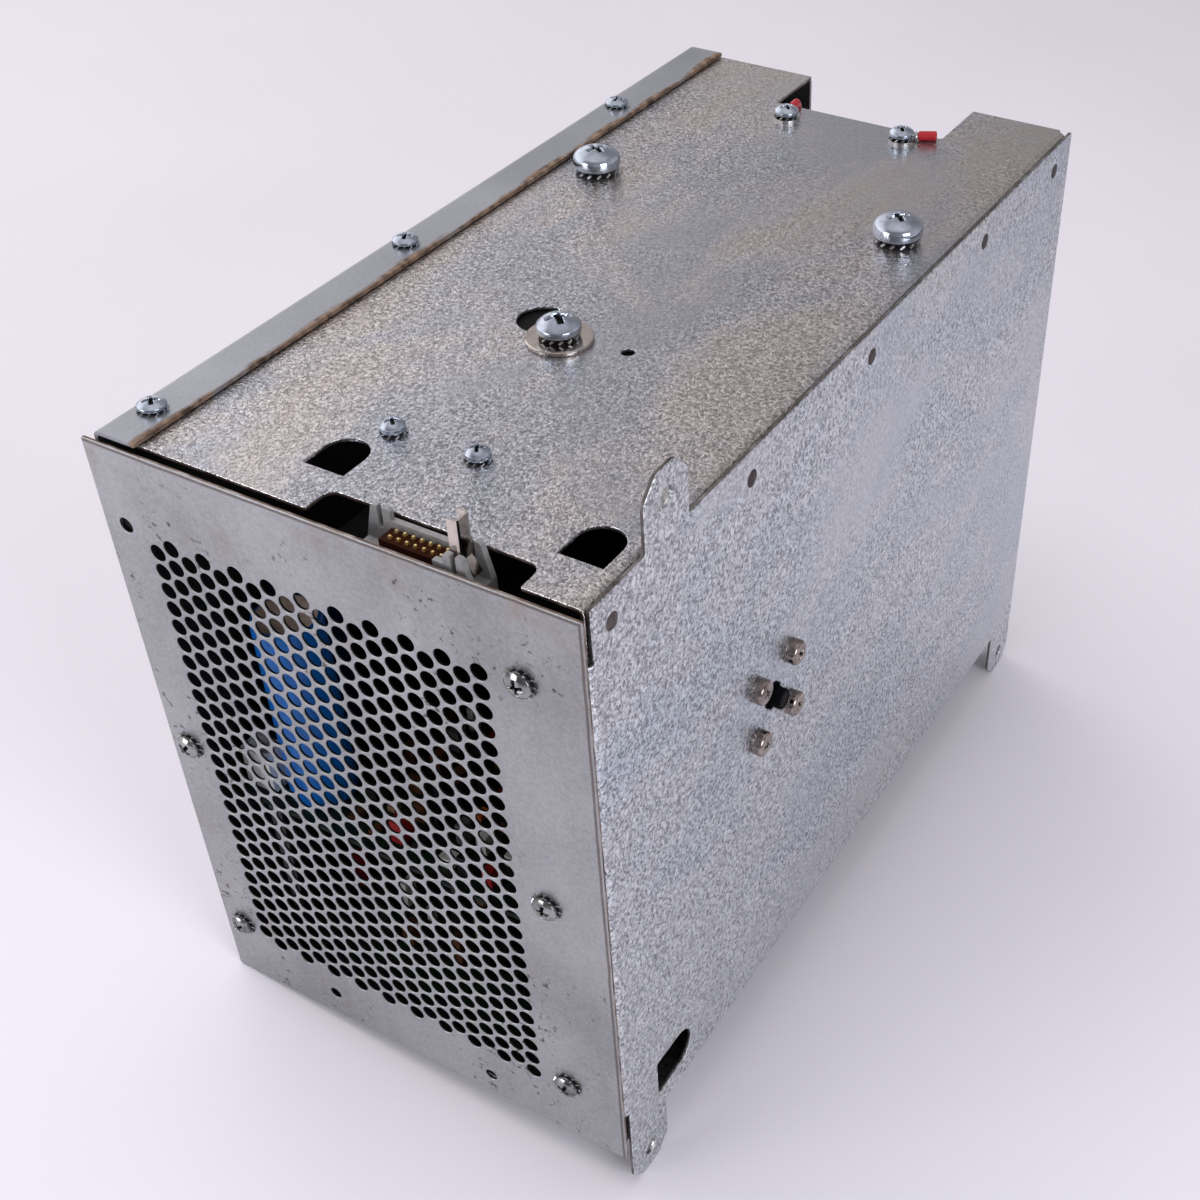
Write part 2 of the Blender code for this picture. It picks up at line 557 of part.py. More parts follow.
OUT_FRONT, OUT_SIDE, OUT_UNDER = (90, 0, 0), (0, 90, 0), (180, 0, 0)
on_top = CHASSIS_H + CLEAR
used = [FRONT_SCREWS[1], FRONT_SCREWS[2]] + FRONT_SCREWS[3:]
fasten("front_screw", FRONT_SCREW, FRONT_REACH, [(x, -CLEAR, z) for x, z in used], OUT_FRONT, ZINC)
sink_reach = CHASSIS_T + 2 * CLEAR + SINK_BASE
fasten("top_bolt", BOLT, sink_reach, [(*BOLT_A, on_top), (*BOLT_B, on_top)], (0, 0, 0), ZINC, 10)
fasten("top_bolt", MID_BOLT, sink_reach, [(*BOLT_C, on_top + FLAT_WASHER_T + CLEAR)], (0, 0, 0), ZINC, 10, 3)
put("bolt_washer", tube(FLAT_WASHER_R, BOLT[0] + HOLE_PLAY, 0, FLAT_WASHER_T, FULL), NICKEL, (*BOLT_C, on_top))
fasten("bracket_screw", SMALL_SCREW, BRACKET_REACH, [(*BRACKET_SCREW_1, on_top), (*BRACKET_SCREW_2, on_top)], (0, 0, 0), ZINC)
fasten("earth_screw", SMALL_SCREW, SHORT_REACH, [(*spot, on_top + TAG_T + CLEAR) for spot in (EARTH_SCREW_1, EARTH_SCREW_2)],
       (0, 0, 0), ZINC)
fasten("cover_screw_top", COVER_SCREW, SHORT_REACH, [(*spot, COVER_Z1 + CLEAR) for spot in cover_spots], (0, 0, 0), ZINC)
fasten("cover_screw_under", COVER_SCREW, SHORT_REACH, [(*spot, COVER_Z0 - CLEAR) for spot in cover_spots], OUT_UNDER, ZINC)
side_reach = CHASSIS_T + 2 * CLEAR + MODULE_T * 0.6
fasten("side_screw", SIDE_SCREW, side_reach, [(CHASSIS_W + CLEAR, y, z) for y, z in side_screws], OUT_SIDE, NICKEL)


# Earth tags: a ring, a neck and a crimped sleeve, turned about their screws
def tag(name, spot, turn):
    arc = [(TAG_R * sin(a), -TAG_R * cos(a)) for a in [radians(v) for v in range(-150, 151, 30)]]
    neck = [(TAG_NECK_W / 2, TAG_REACH + 2), (-TAG_NECK_W / 2, TAG_REACH + 2)]
    bm = sheet(arc + neck, [ring(0, 0, small_hole)], "XY", 0, TAG_T)
    obj = put(name, bm, RED_SLEEVE, (*spot, on_top), (0, 0, turn))
    sleeve = [(x, z + SLEEVE_R * 0.92) for x, z in ring(0, 0, SLEEVE_R)]
    other = tool("join_" + name, [(sleeve, "XZ", TAG_REACH, TAG_REACH + SLEEVE_L)], (*spot, on_top))
    other.rotation_euler = obj.rotation_euler
    boolean(obj, "UNION", other)


tag("earth_tag_1", EARTH_SCREW_1, TAG_TURN_1)
tag("earth_tag_2", EARTH_SCREW_2, TAG_TURN_2)

# Header: a grey shroud with forked cheeks, its pins, and the one latch that is fitted
board_top = HEADER_BOARD_Z + HEADER_BOARD_T
h_base = board_top + CLEAR
h_front, h_back = HEADER_Y - HEADER_W / 2, HEADER_Y + HEADER_W / 2
slot_half = TRUNNION_R + CLEAR
lean = 0.6


def cheek(sign):
    """Cheek outline from the centre outwards: inner prong, pivot slot, outer prong, raked end."""
    fork = [(LATCH_X + slot_half * cos(a), LATCH_Z + slot_half * sin(a)) for a in [pi + k * pi / 4 for k in range(5)]]
    pts = [(CHEEK_IN, HEADER_CHEEK_Z - lean), (CHEEK_IN + lean, HEADER_CHEEK_Z),
           (LATCH_X - slot_half, HEADER_CHEEK_Z)] + fork
    pts += [(LATCH_X + slot_half, HEADER_CHEEK_Z), (CHEEK_OUT - lean, HEADER_CHEEK_Z),
            (CHEEK_OUT, HEADER_CHEEK_Z - lean), (HEADER_FOOT, HEADER_BASE_Z), (HEADER_FOOT, h_base)]
    return [(HEADER_X + sign * u, v) for u, v in pts]


back_layer = [(HEADER_X + CHEEK_IN, HEADER_WALL_Z)] + cheek(1) + cheek(-1)[::-1] + [(HEADER_X - CHEEK_IN, HEADER_WALL_Z)]
front_step = HEADER_X + CHEEK_IN * 0.7
front_layer = [(HEADER_X + CHEEK_IN, HEADER_WALL_Z)] + cheek(1)
front_layer += [(HEADER_X - HEADER_FOOT, h_base), (HEADER_X - HEADER_FOOT, HEADER_BASE_Z),
                (HEADER_X - CHEEK_IN, HEADER_BASE_Z + 2), (front_step, HEADER_BASE_Z + 2), (front_step, HEADER_WALL_Z)]
shroud = put("header_shroud", prism_of(back_layer, "XZ", h_back - HEADER_CHEEK, h_back), GREY_PLASTIC)
bite = 0.2
join(shroud, [(rect(HEADER_X - HEADER_FOOT + bite, h_base + bite, HEADER_X + HEADER_FOOT - bite, HEADER_BASE_Z - bite),
               "XZ", h_front + bite, h_back - bite),
              (front_layer, "XZ", h_front, h_front + HEADER_CHEEK)])

insert_x = CHEEK_IN - CLEAR
insert_y = HEADER_W / 2 - HEADER_CHEEK - CLEAR
insert_z = HEADER_BASE_Z + CLEAR
insert = prism_of(rect(HEADER_X - insert_x, HEADER_Y - insert_y, HEADER_X + insert_x, HEADER_Y + insert_y),
                  "XY", insert_z, insert_z + INSERT_T)
pins = put("header_pins", insert, BROWN_PLASTIC)
pin_spots = [(HEADER_X + (c - (PIN_COLS - 1) / 2) * PIN_PITCH, HEADER_Y + r * PIN_PITCH / 2)
             for r in (-1, 1) for c in range(PIN_COLS)]
boolean(pins, "UNION", tool("join_header_pins", [
    (rect(x - PIN_SIDE / 2, y - PIN_SIDE / 2, x + PIN_SIDE / 2, y + PIN_SIDE / 2), "XY", insert_z + bite, PIN_TOP_Z)
    for x, y in pin_spots]))

pivot = (HEADER_X + LATCH_X, HEADER_Y, LATCH_Z)
latch_half = HEADER_W / 2 - HEADER_CHEEK - CLEAR
latch_out = 1.0
latch_low = -2.0
rise = LATCH_TOP - LATCH_Z
mid = LATCH_T / 2
channel = folded([(latch_out - LATCH_D, -latch_half + mid), (latch_out - mid, -latch_half + mid),
                  (latch_out - mid, latch_half - mid), (latch_out - LATCH_D, latch_half - mid)], LATCH_T, LATCH_T, 2)
latch = put("header_latch", prism_of(channel, "XY", latch_low, rise), NICKEL, pivot)
foot = [(latch_out - mid, 3.0), (latch_out, 3.0), (latch_out + 2.7, -1.0), (latch_out + 2.2, -1.4), (latch_out - mid, 2.0)]
join(latch, [(foot, "XZ", -latch_half * 0.6, latch_half * 0.6),
             (ring(0, 0, TRUNNION_R), "XZ", -HEADER_W / 2 + CLEAR, HEADER_W / 2 - CLEAR)], pivot)

board_x0 = SLOT_X0 - HEADER_BOARD_LEFT
board_x1 = SLOT_X1 + HEADER_BOARD_RIGHT
header_board = put("header_board", prism_of(rect(board_x0, PLATE_Y0, board_x1, HEADER_BOARD_BACK), "XY",
                                            HEADER_BOARD_Z, board_top), LAMINATE)
for k, spot in enumerate((BRACKET_SCREW_1, BRACKET_SCREW_2)):
    put("board_spacer_" + str(k + 1), tube(SPACER_R, small_hole, board_top + CLEAR, TOP_UNDER - CLEAR),
        ALUMINIUM, (*spot, 0))

# Power board on short standoffs, and the control board on long ones above its front
p_x0, p_x1 = PLATE_X0 + CHASSIS_T + BOARD_EDGE, PLATE_X1 - CHASSIS_T - BOARD_EDGE
p_y0, p_y1 = PLATE_Y0 + CHASSIS_T + BOARD_EDGE, CHASSIS_D - REAR_FLANGE + BOARD_EDGE
p_z = CHASSIS_T + 2 * CLEAR + POWER_STANDOFF
power_top = p_z + BOARD_T
put("power_board", prism_of(rect(p_x0, p_y0, p_x1, p_y1), "XY", p_z, power_top), LAMINATE)
c_z = power_top + 2 * CLEAR + CONTROL_STANDOFF
control_top = c_z + BOARD_T
c_x0 = COVER_FLANGE * 0.25
c_y1 = p_y0 + CONTROL_DEPTH
put("control_board", prism_of(rect(c_x0, p_y0, p_x1, c_y1), "XY", c_z, control_top), LAMINATE)
for k, (x, y) in enumerate(((p_x0 + STANDOFF_IN, p_y0 + STANDOFF_IN), (p_x1 - STANDOFF_IN, p_y0 + STANDOFF_IN),
                            (p_x0 + STANDOFF_IN, p_y1 - STANDOFF_IN), (p_x1 - STANDOFF_IN, p_y1 - STANDOFF_IN))):
    put("power_standoff_" + str(k + 1), prism_of(ring(x, y, STANDOFF_R, 6), "XY", CHASSIS_T + CLEAR, p_z - CLEAR), ALUMINIUM)
for k, (x, y) in enumerate(((p_x0 + STANDOFF_IN, p_y0 + STANDOFF_IN), (p_x1 - STANDOFF_IN, p_y0 + STANDOFF_IN),
                            (p_x0 + STANDOFF_IN, c_y1 - STANDOFF_IN), (p_x1 - STANDOFF_IN, c_y1 - STANDOFF_IN))):
    put("control_standoff_" + str(k + 1), prism_of(ring(x, y, STANDOFF_R, 6), "XY", power_top + CLEAR, c_z - CLEAR), ALUMINIUM)


# Capacitors: sleeved cans with a rolled rim and a sunk top
def can(name, x, y, z, r, h):
    put(name, turned([(0, 0), (r * 0.94, 0), (r, 0.8), (r, h - 1.2), (r * 0.92, h), (r * 0.84, h - 0.6), (0, h - 0.6)], 14),
        BLUE_SLEEVE, (x, y, z + CLEAR), smooth=True)


can("capacitor_1", CAN_X, CAN_Y, control_top, CAN_R, CAN_H)
can("capacitor_2", CAN_X + CAN_SHIFT, CAN_Y + CAN_STEP, control_top, CAN_R, CAN_H)
can("bus_capacitor_1", BUS_X, BUS_Y, power_top, BUS_R, BUS_H)
can("bus_capacitor_2", BUS_X, BUS_Y + BUS_STEP, power_top, BUS_R, BUS_H)

# White connector at the control board's left front corner: a box open at the top
plug_x, plug_y = c_x0 + PLUG_IN, p_y0 + PLUG_BACK
plug = put("white_connector", prism_of(rect(plug_x, plug_y, plug_x + PLUG_W, plug_y + PLUG_L), "XY",
                                       control_top + CLEAR, control_top + CLEAR + PLUG_H), WHITE_NYLON)
cut(plug, [(rect(plug_x + PLUG_WALL, plug_y + PLUG_WALL, plug_x + PLUG_W - PLUG_WALL, plug_y + PLUG_L - PLUG_WALL), "XY",
            control_top + CLEAR + PLUG_H * 0.3, control_top + PLUG_H + past)])

# Choke: a laminated core with two windows, and the winding round its middle limb
core_z = power_top + CLEAR + WINDING_OUT
w_in = CHOKE_LIMB
window_w = (CHOKE_W - 4 * w_in) / 2
core_x0 = CHOKE_X - CHOKE_W / 2
core_y0 = CHOKE_Y - CHOKE_D / 2
windows = [rect(CHOKE_X + s * (w_in + window_w / 2) - window_w / 2, core_y0 + w_in,
                CHOKE_X + s * (w_in + window_w / 2) + window_w / 2, core_y0 + CHOKE_D - w_in) for s in (-1, 1)]
put("choke_core", sheet(rect(core_x0, core_y0, core_x0 + CHOKE_W, core_y0 + CHOKE_D), windows, "XY",
                        core_z, core_z + CHOKE_H), IRON)
coil_out = w_in + window_w - CLEAR
put("choke_winding", sheet(rect(CHOKE_X - coil_out, core_z - WINDING_OUT, CHOKE_X + coil_out, core_z + CHOKE_H + WINDING_OUT),
                           [rect(CHOKE_X - w_in - CLEAR, core_z - CLEAR, CHOKE_X + w_in + CLEAR, core_z + CHOKE_H + CLEAR)],
                           "XZ", core_y0 + w_in + CLEAR, core_y0 + CHOKE_D - w_in - CLEAR), COPPER)

# Terminal block behind the rear window: a stepped row of screw ways
block_x = (NOTCH_X0 + NOTCH_X1) / 2
block_y1 = p_y1 - CLEAR
block = put("terminal_block", prism_of(
    [(block_y1 - BLOCK_D, power_top + CLEAR), (block_y1, power_top + CLEAR), (block_y1, power_top + CLEAR + BLOCK_H * 0.5),
     (block_y1 - BLOCK_D * 0.45, power_top + CLEAR + BLOCK_H * 0.6), (block_y1 - BLOCK_D * 0.45, power_top + CLEAR + BLOCK_H),
     (block_y1 - BLOCK_D, power_top + CLEAR + BLOCK_H)], "YZ", block_x - BLOCK_W / 2, block_x + BLOCK_W / 2), BLACK_PLASTIC)
way = BLOCK_W / BLOCK_STEPS
cut(block, [(rect(block_x - BLOCK_W / 2 + k * way + 1.2, block_y1 - BLOCK_D * 0.36, block_x - BLOCK_W / 2 + (k + 1) * way - 1.2,
                  block_y1 + past), "XY", power_top + BLOCK_H * 0.3, power_top + BLOCK_H + past) for k in range(BLOCK_STEPS)])

# Heat sink: an extruded comb under the top plate, held by the three bolts
bolt_xs = [b[0] for b in (BOLT_A, BOLT_B, BOLT_C)]
bolt_ys = [b[1] for b in (BOLT_A, BOLT_B, BOLT_C)]
s_x0, s_x1 = min(bolt_xs) - SINK_MARGIN, min(max(bolt_xs) + SINK_MARGIN, PLATE_X1 - CHASSIS_T - CLEAR)
s_z1 = TOP_UNDER - CLEAR
s_z0 = s_z1 - SINK_BASE
comb = [(s_x0, s_z1), (s_x1, s_z1)]
fin_step = (s_x1 - s_x0 - SINK_FIN_T) / (SINK_FINS - 1)
for k in range(SINK_FINS - 1, -1, -1):
    x = s_x0 + k * fin_step
    comb += [(x + SINK_FIN_T, s_z0), (x + SINK_FIN_T, s_z0 - SINK_FIN), (x, s_z0 - SINK_FIN), (x, s_z0)]
comb = comb[:2] + comb[3:-1]
sink = put("heat_sink", prism_of(comb, "XZ", min(bolt_ys) - SINK_MARGIN, max(bolt_ys) + SINK_MARGIN), ALUMINIUM)
bore = BOLT[0] + HOLE_PLAY
cut(sink, [(ring(*spot, bore), "XY", s_z0 - SINK_FIN - past, s_z1 + past) for spot in (BOLT_A, BOLT_B, BOLT_C)])

# Module behind the four side screws, with a boss that fills the port
m_x1 = CHASSIS_W - CHASSIS_T - CLEAR
m_half = MODULE_SIDE / 2
module = put("side_module", sheet(rect(SIDE_SCREW_Y - m_half, SIDE_SCREW_Z - m_half, SIDE_SCREW_Y + m_half, SIDE_SCREW_Z + m_half),
                                  [ring(y, z, SIDE_SCREW[0] + HOLE_PLAY) for y, z in side_screws],
                                  "YZ", m_x1 - MODULE_T, m_x1), BLACK_PLASTIC)
join(module, [(ring(SIDE_SCREW_Y, SIDE_SCREW_Z, SIDE_BOSS_R, 10), "YZ", m_x1 - SIDE_BOSS_R, CHASSIS_W + SIDE_BOSS_OUT)])
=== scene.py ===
from math import cos, pi, radians, sin, sqrt

import bmesh
import bpy
import numpy as np
from mathutils import Matrix, Vector
from mathutils.geometry import delaunay_2d_cdt


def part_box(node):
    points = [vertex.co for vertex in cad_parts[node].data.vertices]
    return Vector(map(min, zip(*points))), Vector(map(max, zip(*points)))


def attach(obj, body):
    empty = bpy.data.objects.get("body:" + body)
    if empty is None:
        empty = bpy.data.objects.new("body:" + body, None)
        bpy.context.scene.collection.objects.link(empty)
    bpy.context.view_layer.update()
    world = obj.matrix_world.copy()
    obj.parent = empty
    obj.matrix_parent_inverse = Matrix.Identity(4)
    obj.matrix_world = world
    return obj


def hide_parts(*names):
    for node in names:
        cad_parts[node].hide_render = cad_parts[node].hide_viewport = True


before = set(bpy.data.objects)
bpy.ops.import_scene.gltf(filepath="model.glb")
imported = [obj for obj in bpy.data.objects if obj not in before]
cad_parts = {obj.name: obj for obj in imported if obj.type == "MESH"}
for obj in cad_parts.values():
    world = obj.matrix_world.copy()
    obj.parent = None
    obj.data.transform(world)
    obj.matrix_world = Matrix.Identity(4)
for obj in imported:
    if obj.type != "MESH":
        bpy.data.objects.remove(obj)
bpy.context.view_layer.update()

# The mounting side is one blank of galvanised steel: ears, holes and slits are punched in
# the flat, then its front edge is folded in to carry the front panel's screws.
# Sizes are millimetres from the chassis corner: X right, Y to the rear, Z up.
CHASSIS_W, CHASSIS_H, CHASSIS_D = 149.8, 207.4, 296.0
STEEL = 1.2                                    # sheet thickness
EDGE = 0.25                                    # rounding of a sheared edge
corner = np.array((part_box("left_cover")[0][0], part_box("front_grille")[0][1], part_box("bottom_plate")[0][2]))


def in_frame(mm):
    """Chassis millimetres to the part's frame: the chassis corner plus a thousandth of each."""
    return corner + np.asarray(mm, float) * 0.001


def ring(u, v, r, n):
    """Points evenly round a circle, clockwise: the centre plus r times (cos, -sin)."""
    a = np.arange(n) * 2 * pi / n
    return np.column_stack((u + r * np.cos(a), v - r * np.sin(a)))


def softened(points, r, n=6):
    """A polygon with rounded corners: each corner gives way to a parabola that starts and
    ends a distance r along its two sides. r is one number or one per corner."""
    p = np.asarray(points, float)
    r = np.broadcast_to(np.asarray(r, float), len(p))[:, None]
    back, ahead = np.roll(p, 1, 0) - p, np.roll(p, -1, 0) - p
    a = (p + r * back / np.linalg.norm(back, axis=1)[:, None])[:, None]
    b = (p + r * ahead / np.linalg.norm(ahead, axis=1)[:, None])[:, None]
    t = np.linspace(0, 1, n)[None, :, None]
    curve = ((1 - t) ** 2 * a + 2 * t * (1 - t) * p[:, None] + t ** 2 * b).reshape(-1, 2)
    return curve[np.linalg.norm(curve - np.roll(curve, 1, 0), axis=1) > 1e-6]


def d_shape(u, v0, width, length, n=14):
    """A D-shaped hole, clockwise: straight front at v0, straight sides, half circle at the back."""
    a = np.linspace(pi, 0, n)
    v = v0 + length - width / 2
    arc = np.column_stack((u + width / 2 * np.cos(a), v + width / 2 * np.sin(a)))
    return np.concatenate((((u + width / 2, v0), (u - width / 2, v0)), arc))


def cut_at(loop, levels, low=-1e6, high=1e6):
    """The loop with a point added wherever a side from low to high in v crosses u = level."""
    a, b = loop, np.roll(loop, -1, 0)
    run = b[:, :1] - a[:, :1]
    none = np.full((len(a), len(levels)), -1.0)
    t = np.divide(np.asarray(levels)[None] - a[:, :1], run, out=none, where=np.abs(run) > 1e-9)
    within = (np.minimum(a, b)[:, 1:] > low - 1e-6) & (np.maximum(a, b)[:, 1:] < high + 1e-6)
    side, level = np.nonzero((t > 1e-6) & (t < 1 - 1e-6) & within)
    along = t[side, level]
    keys = np.concatenate((np.arange(len(a)), side + along))
    points = np.concatenate((a, a[side] + along[:, None] * (b - a)[side]))
    return points[np.argsort(keys)]


def edge_dirs(loops):
    """At each point of loops shaped (..., n, 2), the mitred way out of the sheet: the sum of
    the two sides' normals over one plus the cosine between them."""
    ahead = np.roll(loops, -1, -2) - loops
    ahead /= np.linalg.norm(ahead, axis=-1)[..., None]
    behind = np.roll(ahead, 1, -2)
    n = np.stack((ahead[..., 1] + behind[..., 1], -ahead[..., 0] - behind[..., 0]), -1)
    return n / (1 + (ahead * behind).sum(-1))[..., None]


def closed_grid(rows, n, copies=1):
    """Quads of a grid of rows rings of n points, each ring closed, repeated for each copy."""
    i, j = np.meshgrid(np.arange(rows - 1), np.arange(n), indexing="ij")
    k = (j + 1) % n
    quads = np.stack((i * n + j, i * n + k, (i + 1) * n + k, (i + 1) * n + j), -1).reshape(-1, 4)
    return (quads[None] + np.arange(copies)[:, None, None] * rows * n).reshape(-1, 4)


def blank(outline, holes, thick, soft, place, levels=(), steps=2, wall=0):
    """A punched sheet. Round each loop runs a strip on a profile that rounds both faces' edges
    by soft, and both faces are a triangulation of the loops drawn in by soft. outline runs
    anticlockwise, holes, shaped (copies, n, 2) or (n, 2), clockwise. place turns (u, v, depth)
    into chassis millimetres, and each rounding has steps rows. The outline's cut edge has finish
    1, the holes' walls finish wall, the inner face 2 and the rest 0."""
    a = np.linspace(0, pi / 2, steps + 1)
    inset = np.concatenate((soft * (1 - np.sin(a)), soft * (1 - np.sin(a))[::-1]))
    depth = np.concatenate((soft * (1 - np.cos(a)), thick - soft * (1 - np.cos(a))[::-1]))
    rows = len(depth)
    loops_in = [np.asarray(outline, float)[None]]
    loops_in += [np.asarray(h, float).reshape(-1, *np.shape(h)[-2:]) for h in holes]
    patches, rims, owners, edges, first, loop_id = [], [], [], [], 0, 0
    for number, loops in enumerate(loops_in):
        copies, n = loops.shape[:2]
        uv = loops[:, None] - edge_dirs(loops)[:, None] * inset[None, :, None, None]
        d = np.broadcast_to(depth[None, :, None, None], uv.shape[:3] + (1,))
        points = place(np.concatenate((uv, d), -1).reshape(-1, 3))
        cut = np.repeat(np.where(np.arange(rows - 1) >= steps, wall if number else 1, 0), n)
        patches.append((points, closed_grid(rows, n, copies), True, np.tile(cut, copies)))
        rims.append(uv[:, 0].reshape(-1, 2))
        owners.append(np.repeat(np.arange(loop_id, loop_id + copies), n))
        at = first + np.arange(copies * n).reshape(copies, n)
        edges.append(np.stack((at, np.roll(at, -1, 1)), -1).reshape(-1, 2))
        first, loop_id = first + copies * n, loop_id + copies
    points, owner = np.concatenate(rims), np.concatenate(owners)
    for level in levels:
        on = np.nonzero(np.abs(points[:, 0] - level) < 1e-5)[0]
        on = on[np.argsort(points[on, 1])]
        edges.append(on[:len(on) // 2 * 2].reshape(-1, 2))
    corners = [Vector(p) for p in points]
    flat = delaunay_2d_cdt(corners, np.concatenate(edges).tolist(), [], 1, 1e-7)
    uv = np.array([v[:] for v in flat[0]])
    tri = np.array([f for f in flat[2] if len(f) == 3])
    own = owner[[ids[0] for ids in flat[3]]][tri]
    in_hole = (own[:, 0] == own[:, 1]) & (own[:, 1] == own[:, 2]) & (own[:, 0] > 0)
    for d, finish in ((0.0, 0), (thick, 2)):
        patches.append((place(np.column_stack((uv, np.full(len(uv), d)))), tri[~in_hole], False, finish))
    return patches


def piece(name, patches, finishes, stands_for=(), body="chassis"):
    """A mesh object at the origin from patches of (points, faces, smooth, finish) in chassis
    millimetres, welded and turned to face out, riding on a body."""
    points, faces, smooth, index, base = [], [], [], [], 0
    for p, f, s, m in patches:
        points.append(p)
        faces += (np.asarray(f) + base).tolist()
        smooth += [s] * len(f)
        index += np.broadcast_to(m, len(f)).tolist()
        base += len(p)
    mesh = bpy.data.meshes.new(name)
    mesh.from_pydata(in_frame(np.concatenate(points)), [], faces)
    mesh.polygons.foreach_set("use_smooth", smooth)
    mesh.polygons.foreach_set("material_index", index)
    bm = bmesh.new()
    bm.from_mesh(mesh)
    bmesh.ops.remove_doubles(bm, verts=bm.verts[:], dist=2e-6)
    bmesh.ops.recalc_face_normals(bm, faces=bm.faces[:])
    bm.to_mesh(mesh)
    bm.free()
    for finish in finishes:
        mesh.materials.append(finish)
    obj = bpy.data.objects.new(name, mesh)
    bpy.context.scene.collection.objects.link(obj)
    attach(obj, body)
    if stands_for:
        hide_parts(*stands_for)


def shader(name, colour, rough, metal):
    """A new material with its node tree, its Principled shader and its Object coordinates."""
    mat = bpy.data.materials.new(name)
    mat.use_nodes = True
    tree = mat.node_tree
    body = tree.nodes["Principled BSDF"]
    body.inputs["Base Color"].default_value = (*colour, 1)
    body.inputs["Roughness"].default_value = rough
    body.inputs["Metallic"].default_value = metal
    return mat, tree, body, tree.nodes.new("ShaderNodeTexCoord").outputs["Object"]


def add(tree, kind, links=(), **values):
    """A node of a kind. links are (input, socket or value) pairs, values set its properties."""
    node = tree.nodes.new("ShaderNode" + kind)
    for key, value in values.items():
        setattr(node, key, value)
    for name, source in links:
        if hasattr(source, "is_linked"):
            tree.links.new(source, node.inputs[name])
        else:
            node.inputs[name].default_value = source
    return node


def noise(tree, place, scale, detail=4.0, rough=0.55, twist=0.0):
    """Fractal noise, 0 to 1, with scale in waves per metre."""
    links = [("Vector", place), ("Scale", scale), ("Detail", detail), ("Roughness", rough)]
    return add(tree, "TexNoise", links + [("Distortion", twist)]).outputs["Fac"]


def ramp(tree, source, *stops):
    """A colour ramp on a source, with stops of (position, colour)."""
    node = add(tree, "ValToRGB", [("Fac", source)])
    bar = node.color_ramp.elements
    for _ in stops[2:]:
        bar.new(0.5)
    for element, (where, colour) in zip(bar, stops):
        element.position = where
        element.color = (*colour, 1)
    return node.outputs["Color"]


def mask(tree, source, low, high):
    """A ramp that is 0 up to low and 1 from high on."""
    return ramp(tree, source, (low, (0, 0, 0)), (high, (1, 1, 1)))


def blend(tree, fac, a, b, how="MIX"):
    """Two colours mixed by a factor."""
    node = add(tree, "Mix", data_type="RGBA", blend_type=how)
    for key, source in ((0, fac), (6, a), (7, b)):
        if hasattr(source, "is_linked"):
            tree.links.new(source, node.inputs[key])
        else:
            node.inputs[key].default_value = source if key == 0 else (*source, 1)
    return node.outputs[2]


def sums(tree, *terms):
    """The sum of sockets times factors, given as (socket, factor) pairs, and a last value or socket."""
    total = terms[-1]
    for socket, factor in terms[:-1]:
        scaled = add(tree, "Math", [(0, socket), (1, factor)], operation="MULTIPLY").outputs[0]
        total = add(tree, "Math", [(0, scaled), (1, total)], operation="ADD").outputs[0]
    return total


def spangled(name, pale, dark, cool, warm, seed, fine, shine, relief):
    """Galvanised sheet: crystal grains of unlike grey from twisted noise and cells at fine waves
    per metre, smears, more of them to the rear, where the grains fade, and clouds of blue or tan."""
    mat, tree, body, here = shader(name, pale, shine, 0.92)
    place = add(tree, "VectorMath", [(0, here), (1, (seed, seed, seed))], operation="ADD").outputs[0]
    worm = noise(tree, place, fine, 1.0, 0.5, 0.9)
    cell = add(tree, "TexVoronoi", [("Vector", place), ("Scale", fine * 0.8)]).outputs["Color"]
    tone = add(tree, "SeparateColor", [("Color", cell)]).outputs[0]
    mottle = noise(tree, place, fine * 0.2, 4.0, 0.65)
    grain = sums(tree, (worm, 0.92), (tone, 0.10), (mottle, 0.16), -0.09)
    between = tuple((p + d) / 2 for p, d in zip(pale, dark))
    lively = ramp(tree, grain, (0.34, dark), (0.5, between), (0.66, pale))
    drawn = add(tree, "Mapping", [("Vector", place), ("Scale", (1.0, 0.55, 1.0))]).outputs[0]
    rearward = add(tree, "SeparateXYZ", [("Vector", here)]).outputs["Y"]
    patch = sums(tree, (rearward, 0.7), noise(tree, drawn, 15.0, 6.0, 0.6, 0.5))
    smear = mask(tree, patch, 0.47, 0.65)
    calm = add(tree, "Math", [(0, smear), (1, 0.78)], operation="MULTIPLY").outputs[0]
    base = blend(tree, calm, lively, between)
    cloud = noise(tree, drawn, 22.0, 6.0, 0.62, 0.4)
    tint = ramp(tree, cloud, (0.41, cool), (0.49, (1, 1, 1)), (0.59, warm))
    tree.links.new(blend(tree, 1.0, base, tint, "MULTIPLY"), body.inputs["Base Color"])
    tree.links.new(sums(tree, (grain, 0.20), (cloud, 0.14), shine - 0.17), body.inputs["Roughness"])
    height = sums(tree, (calm, -relief), relief)
    bump = add(tree, "Bump", [("Height", grain), ("Strength", height), ("Distance", 0.0004)])
    tree.links.new(bump.outputs[0], body.inputs["Normal"])
    return mat


def sheared(name, *tones):
    """A sheared sheet edge: bare steel gone brown, patchy along its length."""
    mat, tree, body, place = shader(name, tones[1], 0.55, 0.6)
    patch = noise(tree, place, 170.0, 5.0)
    tree.links.new(ramp(tree, patch, *zip((0.34, 0.52, 0.70), tones)), body.inputs["Base Color"])
    return mat


